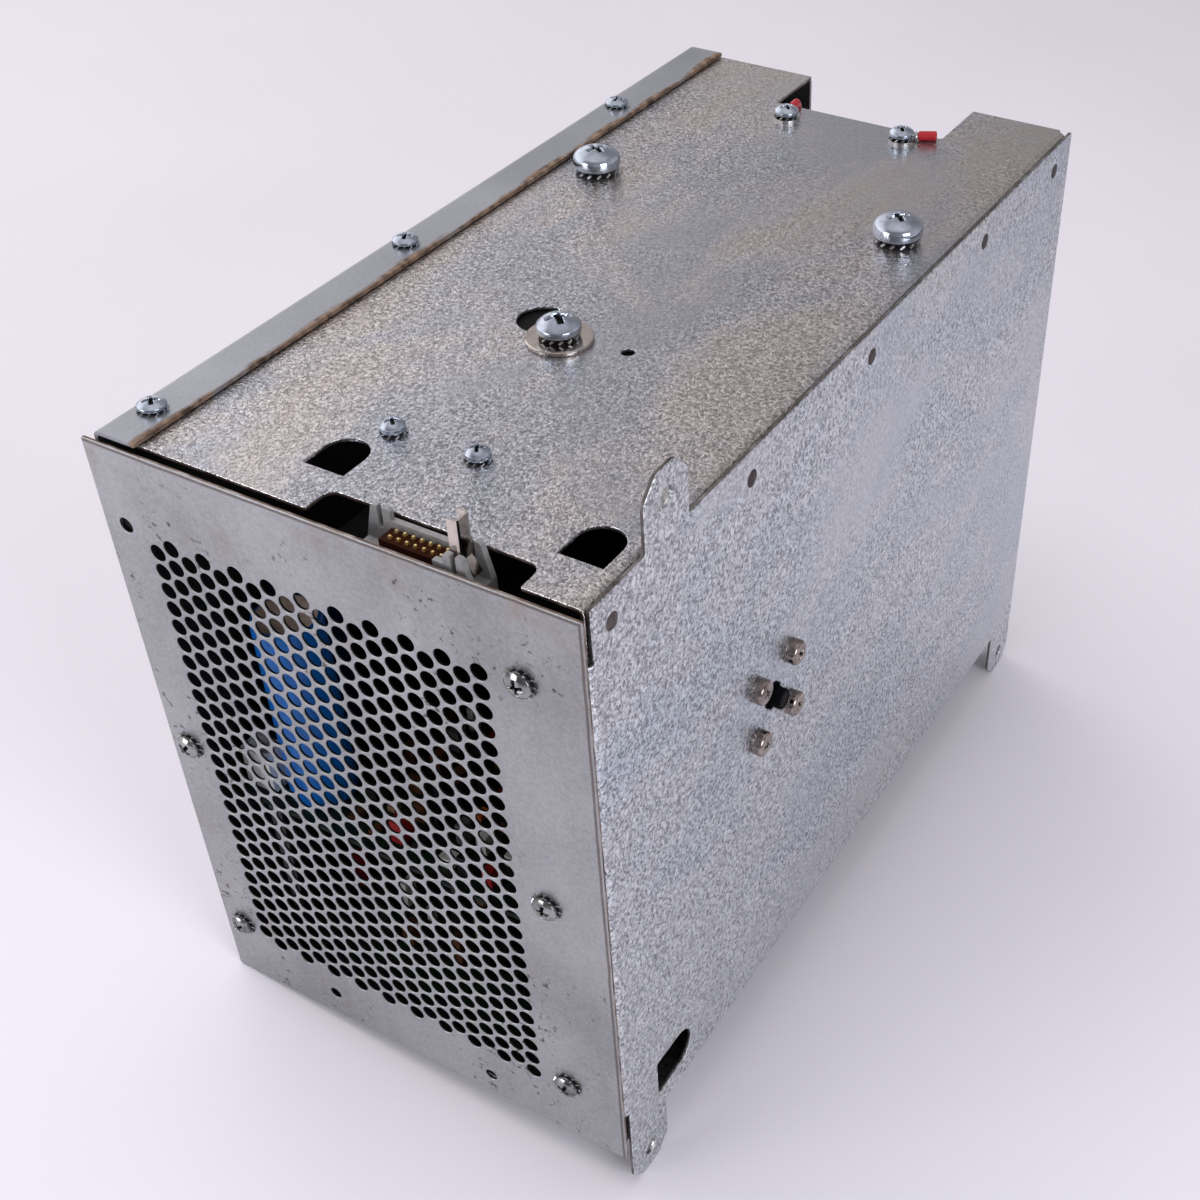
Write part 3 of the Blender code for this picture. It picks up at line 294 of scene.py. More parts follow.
SIDE_EDGE = sheared("side_edge", (0.045, 0.036, 0.033), (0.13, 0.115, 0.11), (0.27, 0.255, 0.25))
SIDE_ZINC = spangled("galvanised_side", (0.80, 0.815, 0.845), (0.235, 0.242, 0.262), (0.88, 0.93, 0.97),
                     (1.0, 1.0, 0.985), 0.0, 860.0, 0.30, 1.0)
# The sheets' inner faces: the same spangled zinc, darker and duller, as painted shade.
SHADED_INNER_ZINC = spangled("galvanised_inside_painted_shade", (0.36, 0.36, 0.38), (0.17, 0.17, 0.18), (0.95, 0.97, 1.0),
                      (1.0, 0.97, 0.94), 1.9, 1200.0, 0.38, 0.3)
FOLD_R = 2.15                                  # outside of a bend
FLANGE_Y = 1.5                                 # flange face behind the front panel
TAB_Y = 3.5                                    # front edge of the corner tabs, which aren't folded
FOLD_LOW, FOLD_HIGH, SLIT = 15.8, 191.6, 1.0
RELIEF = 0.4                                   # how far a slit runs past its bend
BEND_LINES = 9                                 # lines on the blank that round a bend
EAR_W, EAR_UP, EAR_DOWN, EAR_CUT, EAR_HOLE_R, EAR_HOLE_IN = 19.6, 19.4, 22.2, 5.6, 2.65, 8.5
TOP_EAR_Y = 27.0
SIDE_FLANGE = 25.4
PORT_Y, PORT_Z, PORT_R, PORT_LOBE = 90.0, 114.9, 4.6, 0.10
SIDE_D = (13.9, 19.4, 14.6, 19.2)              # D-shaped hole: middle's height, front, width, length
ROUND = 32                                     # sides of a small round hole
fold_y = FLANGE_Y + FOLD_R
fold_len = FOLD_R * pi / 2
flange_end = fold_y - fold_len - (SIDE_FLANGE - FOLD_R)


def ear(y0, tip, base):
    """An ear's six corners from y0 on: straight sides, cut corners, tip."""
    s = EAR_CUT if tip > base else -EAR_CUT
    y1 = y0 + EAR_W
    return [(y0, base), (y0, tip - s), (y0 + EAR_CUT, tip), (y1 - EAR_CUT, tip), (y1, tip - s), (y1, base)]


def fold_in(p):
    """Flat blank to chassis: in front of the fold line a point goes round the bend by its distance
    over the outside radius, then straight on along the flange. The corner tabs stay flat."""
    y, z, d = p.T
    turned = (z > FOLD_LOW - SLIT / 2) & (z < FOLD_HIGH + SLIT / 2) & (y < fold_y)
    a = np.clip((fold_y - y) / FOLD_R, 0, pi / 2)
    on = np.clip(fold_y - fold_len - y, 0, None)
    x_bent = CHASSIS_W - FOLD_R + (FOLD_R - d) * np.cos(a) - on
    y_bent = fold_y - (FOLD_R - d) * np.sin(a)
    return np.column_stack((np.where(turned, x_bent, CHASSIS_W - d), np.where(turned, y_bent, y), z))


slit_end = fold_y + RELIEF
rear_ear = CHASSIS_D - EAR_W
side_outline = ear(TAB_Y, -EAR_DOWN, 0) + ear(rear_ear, -EAR_DOWN, 0) + [(CHASSIS_D, CHASSIS_H)]
side_outline += ear(TOP_EAR_Y, CHASSIS_H + EAR_UP, CHASSIS_H)[::-1]
side_outline += [(TAB_Y, CHASSIS_H), (TAB_Y, FOLD_HIGH + SLIT), (slit_end, FOLD_HIGH + SLIT),
                 (slit_end, FOLD_HIGH), (flange_end, FOLD_HIGH), (flange_end, FOLD_LOW),
                 (slit_end, FOLD_LOW), (slit_end, FOLD_LOW - SLIT), (TAB_Y, FOLD_LOW - SLIT)]
ear_soft = [0.8] + [1.6] * 4 + [0.8]
side_soft = [0] + ear_soft[1:] + ear_soft[:5] + [0, 0.6] + ear_soft + [0.5] + [0] * 8
fold_lines = fold_y - fold_len * np.linspace(0, 1, BEND_LINES)
side_edge = cut_at(softened(side_outline, side_soft), fold_lines, FOLD_LOW, FOLD_HIGH)
turn = np.arange(ROUND) * 2 * pi / ROUND
lobed = PORT_R * (1 + PORT_LOBE * np.cos(4 * turn))
port = np.column_stack((PORT_Y + lobed * np.cos(turn), PORT_Z - lobed * np.sin(turn)))
ear_low = -EAR_DOWN + EAR_HOLE_IN
ear_high = CHASSIS_H + EAR_UP - EAR_HOLE_IN
ear_holes = [(y + EAR_W / 2, z) for y, z in ((TOP_EAR_Y, ear_high), (TAB_Y, ear_low), (rear_ear, ear_low))]
side_holes = [ring(y, z, EAR_HOLE_R, ROUND) for y, z in ear_holes]
side_holes += [d_shape(*SIDE_D)[:, ::-1][::-1], port]
side_blank = blank(side_edge, side_holes, STEEL, EDGE, fold_in, fold_lines)
piece("mounting_side", side_blank, [SIDE_ZINC, SIDE_EDGE, SHADED_INNER_ZINC], ["side_panel"])

# Spot welds tie the mounting side to the flanges inside. Each leaves a scorched brown disc
# about 5 mm across, a hair proud of the zinc.
WELD_R, WELD_Z, WELD_Y = 2.5, 199.0, (11.7, 77.1, 145.7, 224.9, 282.6)


def turned_grid(profile, n):
    """A profile of (radius, height) rows carried round an axis: points (r cos, r sin, h)."""
    r, h = np.asarray(profile, float).T
    a = np.arange(n) * 2 * pi / n
    return np.stack((r[:, None] * np.cos(a), r[:, None] * np.sin(a), np.repeat(h[:, None], n, 1)), -1)


AXES = {"+Z": np.eye(3), "-Y": np.array(((1, 0, 0), (0, 0, -1), (0, 1, 0)), float),
        "+X": np.array(((0, 0, 1), (1, 0, 0), (0, 1, 0)), float)}


def turned(profile, n, spot, axis="+Z", smooth=True, finish=0):
    """A turned patch, its axis set along one of the frame's axes, at a spot."""
    p = turned_grid(profile, n)
    return (p.reshape(-1, 3) @ AXES[axis].T + spot, closed_grid(len(profile), n), smooth, finish)


WELD_TONES = ((0.022, 0.016, 0.016), (0.055, 0.040, 0.039), (0.11, 0.083, 0.08))
weld_rows = [(0.0, 0.10), (1.2, 0.10), (2.1, 0.06), (WELD_R, 0.0), (WELD_R, -0.3), (0.0, -0.3)]
piece("spot_welds", [turned(weld_rows, 24, (CHASSIS_W, y, WELD_Z), "+X") for y in WELD_Y],
      [sheared("burnt_zinc", *WELD_TONES)])

# The top plate is galvanised like the mounting side, with a slot for the header in its front
# edge, two D-shaped holes, a round hole by the middle bolt and a notch at the rear. Its right
# edge is folded down and welded to the mounting side.
TOP_ZINC = spangled("galvanised_top", (0.78, 0.745, 0.755), (0.285, 0.272, 0.28), (0.84, 0.90, 0.97),
                    (1.0, 0.965, 0.91), 0.7, 980.0, 0.20, 0.9)
RAW_EDGE = sheared("sheared_edge", (0.03, 0.020, 0.018), (0.095, 0.065, 0.054), (0.24, 0.20, 0.18))
PLATE_X0, PLATE_X1, PLATE_Y0 = 1.5, 148.3, 3.3
SLOT_X0, SLOT_X1, SLOT_Y = 68.0, 131.0, 12.4
NOTCH_X0, NOTCH_X1, NOTCH_Y = 51.2, 113.8, 270.0
TOP_FLANGE, TOP_FLANGE_END = 18.0, 294.2
TOP_D_X, TOP_D = (61.0, 137.4), (18.2, 12.8, 14.8)   # D-shaped holes: middles, then front, width, length
BIG_HOLE, SPARE_HOLE = (66.3, 105.9, 7.4), (96.8, 102.4, 1.9)   # place and radius
bend_x = PLATE_X1 - FOLD_R
relief_x = bend_x - RELIEF
skirt_x = bend_x + fold_len + TOP_FLANGE - FOLD_R


def fold_down(p):
    """Flat blank to chassis: past the bend line a point goes round by its distance over the
    outside radius and then straight down."""
    x, y, d = p.T
    a = np.clip((x - bend_x) / FOLD_R, 0, pi / 2)
    on = np.clip(x - bend_x - fold_len, 0, None)
    return np.column_stack((np.minimum(x, bend_x) + (FOLD_R - d) * np.sin(a), y,
                            CHASSIS_H - FOLD_R + (FOLD_R - d) * np.cos(a) - on))


top_outline = [(PLATE_X0, PLATE_Y0), (SLOT_X0, PLATE_Y0), (SLOT_X0, SLOT_Y), (SLOT_X1, SLOT_Y),
               (SLOT_X1, PLATE_Y0), (skirt_x, PLATE_Y0), (skirt_x, TOP_FLANGE_END),
               (relief_x, TOP_FLANGE_END), (relief_x, CHASSIS_D), (NOTCH_X1, CHASSIS_D), (NOTCH_X1, NOTCH_Y),
               (NOTCH_X0, NOTCH_Y), (NOTCH_X0, CHASSIS_D), (PLATE_X0, CHASSIS_D)]
top_soft = [0.5, 0.6, 4.2, 4.2, 0.6, 0, 0, 0, 0.6, 0.6, 1.2, 1.2, 0.6, 0.5]
bend_lines = bend_x + fold_len * np.linspace(0, 1, BEND_LINES)
top_edge = cut_at(softened(top_outline, top_soft), bend_lines)
top_holes = [d_shape(x, *TOP_D) for x in TOP_D_X] + [ring(*BIG_HOLE, 40), ring(*SPARE_HOLE, 24)]
top_blank = blank(top_edge, top_holes, STEEL, EDGE, fold_down, bend_lines)
piece("top_sheet", top_blank, [TOP_ZINC, RAW_EDGE, SHADED_INNER_ZINC], ["top_plate"])

# The front panel is a flat sheet of smooth zinc-plated steel with a staggered field of punched
# round holes. Five screws hold it, and its sixth screw hole is empty. Damp has left faint brown
# smears on it.
FRONT_T, FRONT_EDGE, FRONT_CORNER = 1.0, 0.2, 0.8
HOLE_PITCH, HOLE_R, HOLE_SIDES = 6.35, 2.6, 20
PANEL_X0, PANEL_X1, PANEL_Z0, PANEL_Z1 = -3.6, 150.0, -2.7, 206.6
FIELD_X, FIELD_Z, COLUMNS, ROWS = 13.6, 175.5, 20, 26
SCREW_X = (4.1, 130.8)
SCREW_Z = 181.2 - 79.4 * np.arange(3)
SMALL_HOLES = ((39.5, 7.9), (100.8, 6.0))
SCREW_HOLE_R, SMALL_HOLE_R, HOLE_ROUND = 2.3, 2.1, 24
BLOOM_Z = (0.196, 0.2285)                      # heights in the frame over which the brown bloom grows


def stand_in_front(p):
    """Front panel to chassis: depth runs back from the front face."""
    return np.column_stack((p[:, 0], p[:, 2], p[:, 1]))


def moulded(name, colour, rough, gloss=0.5):
    """Plain plastic, paint or paper: one colour, slightly mottled, with a fine grain in its shine."""
    mat, tree, body, place = shader(name, colour, rough, 0.0)
    body.inputs["Specular IOR Level"].default_value = gloss
    mottle = noise(tree, place, 500.0)
    low, high = tuple(c * 0.82 for c in colour), tuple(min(1.0, c * 1.12) for c in colour)
    tree.links.new(ramp(tree, mottle, (0.3, low), (0.7, high)), body.inputs["Base Color"])
    tree.links.new(sums(tree, (mottle, 0.2), rough - 0.1), body.inputs["Roughness"])
    return mat


def smooth_zinc(name):
    """Satin zinc plate: even grey with faint clouds, dark specks in clusters, a brown bloom near the
    top edge, a dark line of dirt just inside the edges and a ring stain round the first small hole."""
    mat, tree, body, place = shader(name, (0.40, 0.41, 0.44), 0.44, 0.75)
    split = add(tree, "SeparateXYZ", [("Vector", place)])
    long = add(tree, "Mapping", [("Vector", place), ("Scale", (1.0, 1.0, 0.06))]).outputs[0]
    streak = noise(tree, long, 160.0)
    cloud = noise(tree, place, 16.0, 6.0, 0.62)
    fine = noise(tree, place, 900.0, 3.0)
    tone = sums(tree, (streak, 0.12), (cloud, 0.58), (fine, 0.30), 0.0)
    base = ramp(tree, tone, (0.38, (0.25, 0.258, 0.268)), (0.62, (0.395, 0.402, 0.416)))
    blot = noise(tree, place, 60.0, 6.0, 0.66)
    limits = [("Value", split.outputs["Z"]), ("From Min", BLOOM_Z[0]), ("From Max", BLOOM_Z[1])]
    height = add(tree, "MapRange", limits).outputs[0]
    rust = mask(tree, sums(tree, (height, 0.10), blot), 0.60, 0.78)
    spot = [float(v) for v in in_frame((SMALL_HOLES[0][0], 0, SMALL_HOLES[0][1]))]
    away = add(tree, "VectorMath", [(0, place), (1, spot)], operation="DISTANCE").outputs[1]
    halo = ramp(tree, sums(tree, (away, 60.0), (blot, 0.1), 0.0),
                (0.30, (0, 0, 0)), (0.40, (1, 1, 1)), (0.48, (0, 0, 0)))
    far = [float(v) for v in in_frame((PANEL_X1, 0, PANEL_Z1))]
    to_right = sums(tree, (split.outputs["X"], -1000.0), 1000.0 * far[0])
    to_top = sums(tree, (split.outputs["Z"], -1000.0), 1000.0 * far[2])
    inside = add(tree, "Math", [(0, to_right), (1, to_top)], operation="MINIMUM").outputs[0]
    dirt = ramp(tree, sums(tree, (inside, 0.3), (blot, 0.3), -0.13), (0.10, (0, 0, 0)), (0.22, (1, 1, 1)),
                (0.34, (1, 1, 1)), (0.46, (0, 0, 0)))
    brown = sums(tree, (rust, 0.42), (halo, 0.3), 0.0)
    stained = blend(tree, brown, base, (0.30, 0.22, 0.17))
    edged = blend(tree, sums(tree, (dirt, 0.75), 0.0), stained, (0.085, 0.055, 0.042))
    speck = mask(tree, noise(tree, place, 420.0, 3.0, 0.6), 0.62, 0.67)
    crowd = mask(tree, noise(tree, place, 38.0, 3.0), 0.49, 0.60)
    seen = add(tree, "Math", [(0, speck), (1, crowd)], operation="MULTIPLY").outputs[0]
    tree.links.new(blend(tree, seen, edged, (0.10, 0.085, 0.075)), body.inputs["Base Color"])
    tree.links.new(sums(tree, (streak, 0.14), (brown, 0.25), 0.34), body.inputs["Roughness"])
    return mat


column, row = np.meshgrid(np.arange(COLUMNS), np.arange(ROWS), indexing="ij")
punched = row < ROWS - 1 + column % 2
hole_u = (FIELD_X + column * HOLE_PITCH * sqrt(3) / 2)[punched]
hole_v = (FIELD_Z - row * HOLE_PITCH + (column % 2) * HOLE_PITCH / 2)[punched]
field = np.stack((hole_u, hole_v), -1)[:, None] + ring(0, 0, HOLE_R, HOLE_SIDES)[None]
screw_holes = [ring(x, z, SCREW_HOLE_R, HOLE_ROUND) for x in SCREW_X for z in SCREW_Z]
small_holes = [ring(x, z, SMALL_HOLE_R, HOLE_ROUND) for x, z in SMALL_HOLES]
panel_holes = [field, np.array(screw_holes), np.array(small_holes)]
panel_outline = [(PANEL_X0, PANEL_Z0), (PANEL_X1, PANEL_Z0), (PANEL_X1, PANEL_Z1), (PANEL_X0, PANEL_Z1)]
PANEL_ZINC = smooth_zinc("satin_zinc")
panel_edge = sheared("panel_edge", (0.06, 0.036, 0.026), (0.19, 0.13, 0.10), (0.42, 0.37, 0.34))
# The punched holes' walls are near-black painted shade.
shaded_hole_wall = moulded("punched_wall_painted_shade", (0.014, 0.012, 0.011), 0.6, 0.06)
panel_loop = softened(panel_outline, FRONT_CORNER)
panel_blank = blank(panel_loop, panel_holes, FRONT_T, FRONT_EDGE, stand_in_front, (), 1, 3)
piece("perforated_panel", panel_blank, [PANEL_ZINC, panel_edge, PANEL_ZINC, shaded_hole_wall],
      ["front_grille"])

# The cover is a wide channel of smooth zinc-plated steel, folded over the top and bottom
# plates and screwed down. Rust has crept along its upper lip. Its inside and its inner lip are near-black
# painted shade.
COVER_T, COVER_R, COVER_LIP = 1.2, 2.0, 14.0
COVER_Z0, COVER_Z1 = -1.5, 208.9
FRONT_LIP_X, FRONT_LIP_Z = 9.2, (12.0, 195.4)  # the lip that is folded in behind the front panel


def folded_section(path, t, r, n=8):
    """The section of a sheet t thick whose middle follows a path with round bends of radius r:
    the middle line moved half of t along its normal, out one way and back the other."""
    path = np.asarray(path, float)
    d = np.diff(path, axis=0)
    d /= np.linalg.norm(d, axis=1)[:, None]
    mids, normals = [path[:1]], [np.array([[-d[0, 1], d[0, 0]]])]
    for p, a, b in zip(path[1:-1], d[:-1], d[1:]):
        bend = np.arctan2(a[0] * b[1] - a[1] * b[0], a @ b)
        side = np.sign(bend)
        n0 = np.array((-a[1], a[0]))
        centre = p - a * r * np.tan(abs(bend) / 2) + n0 * side * r
        w = bend * np.linspace(0, 1, n)
        nn = np.column_stack((n0[0] * np.cos(w) - n0[1] * np.sin(w), n0[0] * np.sin(w) + n0[1] * np.cos(w)))
        mids.append(centre - nn * side * r)
        normals.append(nn)
    mids.append(path[-1:])
    normals.append(np.array([[-d[-1, 1], d[-1, 0]]]))
    m, nn = np.concatenate(mids), np.concatenate(normals)
    return np.concatenate((m + nn * t / 2, (m - nn * t / 2)[::-1]))


def strip(section, y0, y1, finish=0):
    """A closed section in X and Z carried straight from y0 to y1, with flat ends."""
    s = np.asarray(section, float)
    n = len(s)
    p = np.concatenate([np.column_stack((s[:, 0], np.full(n, y), s[:, 1])) for y in (y0, y1)])
    cap = [list(range(n))]
    return [(p, closed_grid(2, n), False, finish), (p[:n], cap, False, 0), (p[n:], cap, False, 0)]


def rusting_zinc(name):
    """The cover's zinc: the panel's grey, with brown rust in a ragged line by its lip's edge."""
    mat, tree, body, place = shader(name, (0.40, 0.41, 0.44), 0.4, 0.8)
    split = add(tree, "SeparateXYZ", [("Vector", place)])
    lip = float(in_frame((COVER_LIP, 0, 0))[0])
    limits = [("Value", split.outputs["X"]), ("From Min", lip - 0.0044), ("From Max", lip)]
    near = add(tree, "MapRange", limits).outputs[0]
    long = add(tree, "Mapping", [("Vector", place), ("Scale", (1.0, 0.3, 1.0))]).outputs[0]
    creep = noise(tree, long, 90.0, 6.0, 0.62)
    rust = mask(tree, sums(tree, (near, 0.36), creep), 0.70, 0.82)
    cloud = noise(tree, place, 20.0, 5.0)
    fine = noise(tree, place, 900.0, 3.0)
    tone = sums(tree, (cloud, 0.6), (fine, 0.4), 0.0)
    base = ramp(tree, tone, (0.34, (0.30, 0.315, 0.35)), (0.66, (0.43, 0.445, 0.48)))
    shade = noise(tree, place, 320.0)
    brown = ramp(tree, shade, (0.35, (0.06, 0.034, 0.022)), (0.65, (0.28, 0.185, 0.13)))
    tree.links.new(blend(tree, rust, base, brown), body.inputs["Base Color"])
    tree.links.new(sums(tree, (rust, 0.3), (fine, 0.1), 0.30), body.inputs["Roughness"])
    tree.links.new(sums(tree, (rust, -0.6), 0.8), body.inputs["Metallic"])
    return mat


half = COVER_T / 2
low, high = COVER_Z0 + half, COVER_Z1 - half
cover_path = [(COVER_LIP, high), (half, high), (half, low), (COVER_LIP, low)]
section = folded_section(cover_path, COVER_T, COVER_R - half)
shaded_inside = np.where(np.arange(len(section)) < len(section) // 2 - 1, 1, 0)
cover_parts = strip(section, FLANGE_Y, CHASSIS_D, shaded_inside)
lip_x0, lip_y1 = COVER_T - 0.05, FLANGE_Y + COVER_T
front_lip = [(lip_x0, FLANGE_Y), (FRONT_LIP_X, FLANGE_Y), (FRONT_LIP_X, lip_y1), (lip_x0, lip_y1)]
lip_points = np.array([(x, y, z) for z in FRONT_LIP_Z for x, y in front_lip])
lip_ends = [[0, 1, 2, 3]]
cover_parts += [(lip_points, closed_grid(2, 4), False, 1)]
cover_parts += [(lip_points[:4], lip_ends, False, 1), (lip_points[4:], lip_ends, False, 1)]
# Near-black painted shade on the cover's inside faces and the lip behind the front panel.
inside_shade = moulded("cover_inside_painted_shade", (0.018, 0.018, 0.019), 0.7, 0.15)
piece("cover_channel", cover_parts, [rusting_zinc("cover_zinc"), inside_shade], ["left_cover"])

# Steel screws with pressed cross recesses, zinc plated, on toothed lock washers. Three bolts hold
# the heat sink, the others the panel, cover, boards and earth tags. The four round the side port
# are nickel plated, gone bronze, have no washers and hold the module behind it.
HAIR = 0.02                                    # gap under a head or washer
MIDDLE_X, MIDDLE_Y, WASHER_T = 76.9, 98.7, 1.45
EARTH_SPOTS, EARTH_LIFT = ((60.7, 259.6), (102.6, 262.4)), 0.9
COVER_SCREW_X, COVER_SCREW_Y = 6.4, (16.2, 121.0, 237.4)
SIDE_SCREW = 10                                # from the port's middle, along Y and Z


def plated(name, colour, rough, worn):
    """Bright plate: mirror-like, finely scratched, and clouded by handling where the noise is low."""
    mat, tree, body, place = shader(name, colour, rough, 1.0)
    cloud = noise(tree, place, 260.0, 5.0)
    tree.links.new(ramp(tree, cloud, (0.3, worn), (0.62, colour)), body.inputs["Base Color"])
    scratch = noise(tree, place, 1500.0, 3.0)
    tree.links.new(sums(tree, (scratch, 0.14), rough - 0.06), body.inputs["Roughness"])
    return mat


BRIGHT = plated("bright_zinc", (0.57, 0.63, 0.73), 0.11, (0.37, 0.41, 0.48))
TOOTH = plated("lock_washer_steel", (0.62, 0.62, 0.63), 0.3, (0.40, 0.40, 0.40))
# Near-black painted shade for the cross recesses and for the lock washers' cores under the heads.
PAINTED_SHADE = moulded("recess_painted_shade", (0.008, 0.008, 0.009), 0.6, 0.1)
BRONZED = plated("bronzed_nickel", (0.40, 0.335, 0.31), 0.06, (0.13, 0.10, 0.09))
# The front panel's zinc screws, darkened as painted shade for their darker reflections.
SHADED_ZINC = plated("zinc_painted_shade", (0.36, 0.365, 0.36), 0.10, (0.07, 0.07, 0.068))


def recess(x, y, reach, width):
    """Depth, 0 to 1, of a cross recess: two crossed bars with steep sides and sloped ends."""
    def bar(p, q):
        """One bar: full depth inside, falling off within a fifth of its width and reach."""
        sides = np.clip((width - np.abs(p)) / (0.2 * width), 0, 1)
        return sides * np.clip((reach - np.abs(q)) / (0.22 * reach), 0, 1)
    return np.maximum(bar(x, y), bar(y, x))


def screw_head(foot, r, low, h, spin, finish, shape, n=80, rows=26):
    """A screw head: the foot's profile, then a crown from radius r at height low to h that rises as
    one minus the radius to a power, pressed in by the cross recess, whose faces take finish 2,
    near-black painted shade. shape is that power and the recess's reach and width as shares of r."""
    power, reach, width = shape
    t = np.linspace(1, 0, rows)
    a = np.arange(n) * 2 * pi / n
    x, y = r * t[:, None] * np.cos(a), r * t[:, None] * np.sin(a)
    u, v = x * cos(spin) - y * sin(spin), x * sin(spin) + y * cos(spin)
    pressed = recess(u, v, reach * r, width * r)
    z = (low + (h - low) * (1 - t ** power))[:, None] - 2.4 * width * r * pressed
    base = turned_grid(foot, n)
    p = np.concatenate((base, np.stack((x, y, z), -1)))
    faces = closed_grid(len(p), n)
    sunk = np.concatenate((np.zeros(base.shape[:2]), pressed)).ravel()
    return p.reshape(-1, 3), faces, np.where(sunk[faces].mean(1) > 0.45, 2, finish)


def teeth(r0, r1, h, count_t):
    """Twisted teeth of a lock washer: each a slim block from radius r0 to r1, turned about its
    own radius."""
    half_w, thick, tilt = pi * r1 / count_t * 0.5, 0.16 * h, 0.7
    y = np.array((-1, 1, 1, -1)) * half_w
    z = np.array((-1, -1, 1, 1)) * thick
    yy, zz = y * cos(tilt) - z * sin(tilt), y * sin(tilt) + z * cos(tilt) + 0.5 * h
    r = np.array((r0, r1))[:, None] + 0 * yy
    one = np.stack((r, yy + 0 * r, zz + 0 * r), -1)
    w = np.arange(count_t) * 2 * pi / count_t
    c, s = np.cos(w)[:, None, None], np.sin(w)[:, None, None]
    out, side, up = one[..., 0], one[..., 1], one[..., 2]
    p = np.stack((out * c - side * s, out * s + side * c, up + 0 * c), -1)
    ends = np.arange(2 * count_t)[:, None] * 4 + np.arange(4)[None]
    return p.reshape(-1, 3), np.concatenate((closed_grid(2, 4, count_t), ends))


def pan(r, h):
    """The foot of a plain pan head: flat underside, rounded lower edge, short upright side."""
    return [(0.0, 0.0), (0.92 * r, 0.0), (0.98 * r, 0.06 * h), (r, 0.14 * h), (r, 0.42 * h)]


def fasten(name, spots, axis, foot, r, low, h, washer, nodes, finish=0, spin=0.7, shape=(2.6, 0.58, 0.15)):
    """Heads and lock washers of like screws as one piece, each turned to its own angle. washer is
    (radius, height, number of teeth), or None. finish is the heads': 0 bright, 3 bronzed, 4 zinc darkened as
    painted shade."""
    patches, turn_to = [], AXES[axis]
    lift = washer[1] if washer else 0.0
    for k, spot in enumerate(spots):
        p, faces, marks = screw_head(foot, r, low, h, spin + 1.9 * k, finish, shape)
        patches.append(((p + (0, 0, lift)) @ turn_to.T + spot, faces, True, marks))
        if washer:
            core = [(0.0, 0.0), (0.80 * washer[0], 0.0), (0.80 * washer[0], lift), (0.0, lift)]
            # The washer's core under the head is near-black painted shade.
            patches.append(turned(core, 40, spot, axis, False, 2))
            p, faces = teeth(0.78 * washer[0], washer[0], lift, washer[2])
            patches.append((p @ turn_to.T + spot, faces, False, 1))
    piece(name, patches, [BRIGHT, TOOTH, PAINTED_SHADE, BRONZED, SHADED_ZINC], nodes)


top = CHASSIS_H + HAIR
broad = [(0.0, 0.0), (6.9, 0.0), (7.3, 0.2), (7.5, 0.6), (7.55, 1.6), (7.55, 2.6), (7.45, 3.2), (7.15, 3.8),
         (6.6, 4.35), (5.9, 4.8)]
fasten("sink_bolts", [(27.2, 193.2, top), (132.4, 197.1, top)], "+Z", broad, 5.6, 4.93, 6.1, (7.1, 2.1, 14),
       ["top_bolt_1", "top_bolt_2"], 0, 0.4, (2.2, 0.60, 0.15))
fasten("middle_bolt", [(MIDDLE_X, MIDDLE_Y, top + WASHER_T)], "+Z", pan(6.3, 4.6), 6.3, 1.95, 4.6,
       (6.0, 1.6, 14), ["top_bolt_3"])
fasten("board_screws", [(66.0, 39.8, top), (92.2, 40.4, top)], "+Z", pan(3.4, 3.0), 3.4, 1.25, 3.0,
       (3.7, 0.9, 10), ["bracket_screw_1", "bracket_screw_2"])
front_spots = [(SCREW_X[0], SCREW_Z[1]), (SCREW_X[0], SCREW_Z[2])] + [(SCREW_X[1], z) for z in SCREW_Z]
fasten("panel_screws", [(x, -HAIR, z) for x, z in front_spots], "-Y", pan(3.9, 2.2), 3.9, 0.95, 2.2,
       (4.7, 0.8, 12), ["front_screw_%d" % k for k in range(1, 6)], 4)
cover_spots = [(COVER_SCREW_X, y, COVER_Z1 + HAIR) for y in COVER_SCREW_Y]
fasten("cover_screws", cover_spots, "+Z", pan(3.9, 2.2), 3.9, 0.95, 2.2,
       (4.2, 0.7, 12), ["cover_screw_top_%d" % k for k in range(1, 4)])
fasten("earth_screws", [(x, y, top + EARTH_LIFT) for x, y in EARTH_SPOTS], "+Z", pan(4.1, 2.8), 4.1, 1.2, 2.8,
       (4.3, 0.9, 12), ["earth_screw_1", "earth_screw_2"])
both_ways = (SIDE_SCREW, -SIDE_SCREW)
side_spots = [(CHASSIS_W + HAIR, PORT_Y + i, PORT_Z + j) for i in both_ways for j in both_ways]
round_top = [(0.0, 0.0), (3.9, 0.0), (3.95, 0.1), (3.95, 1.2), (3.95, 2.4), (3.9, 2.8), (3.7, 3.15),
             (3.4, 3.4)]
fasten("side_screws", side_spots, "+X", round_top, 3.3, 3.45, 3.75, None,
       ["side_screw_%d" % k for k in range(1, 5)], 3)

# The flat washer under the middle bolt is nickel plated and bridges part of a round hole.
# It is turned from bar and lies loose under the bolt's lock washer.
WARM_NICKEL = plated("warm_nickel", (0.60, 0.54, 0.49), 0.12, (0.44, 0.39, 0.35))
rim = [(3.4, 0.0), (9.3, 0.0), (9.6, 0.3), (9.6, 1.15), (9.3, WASHER_T), (3.4, WASHER_T), (3.4, 0.0)]
piece("plain_washer", [turned(rim, 72, (MIDDLE_X, MIDDLE_Y, top), "+Z", False)], [WARM_NICKEL],
      ["bolt_washer"])

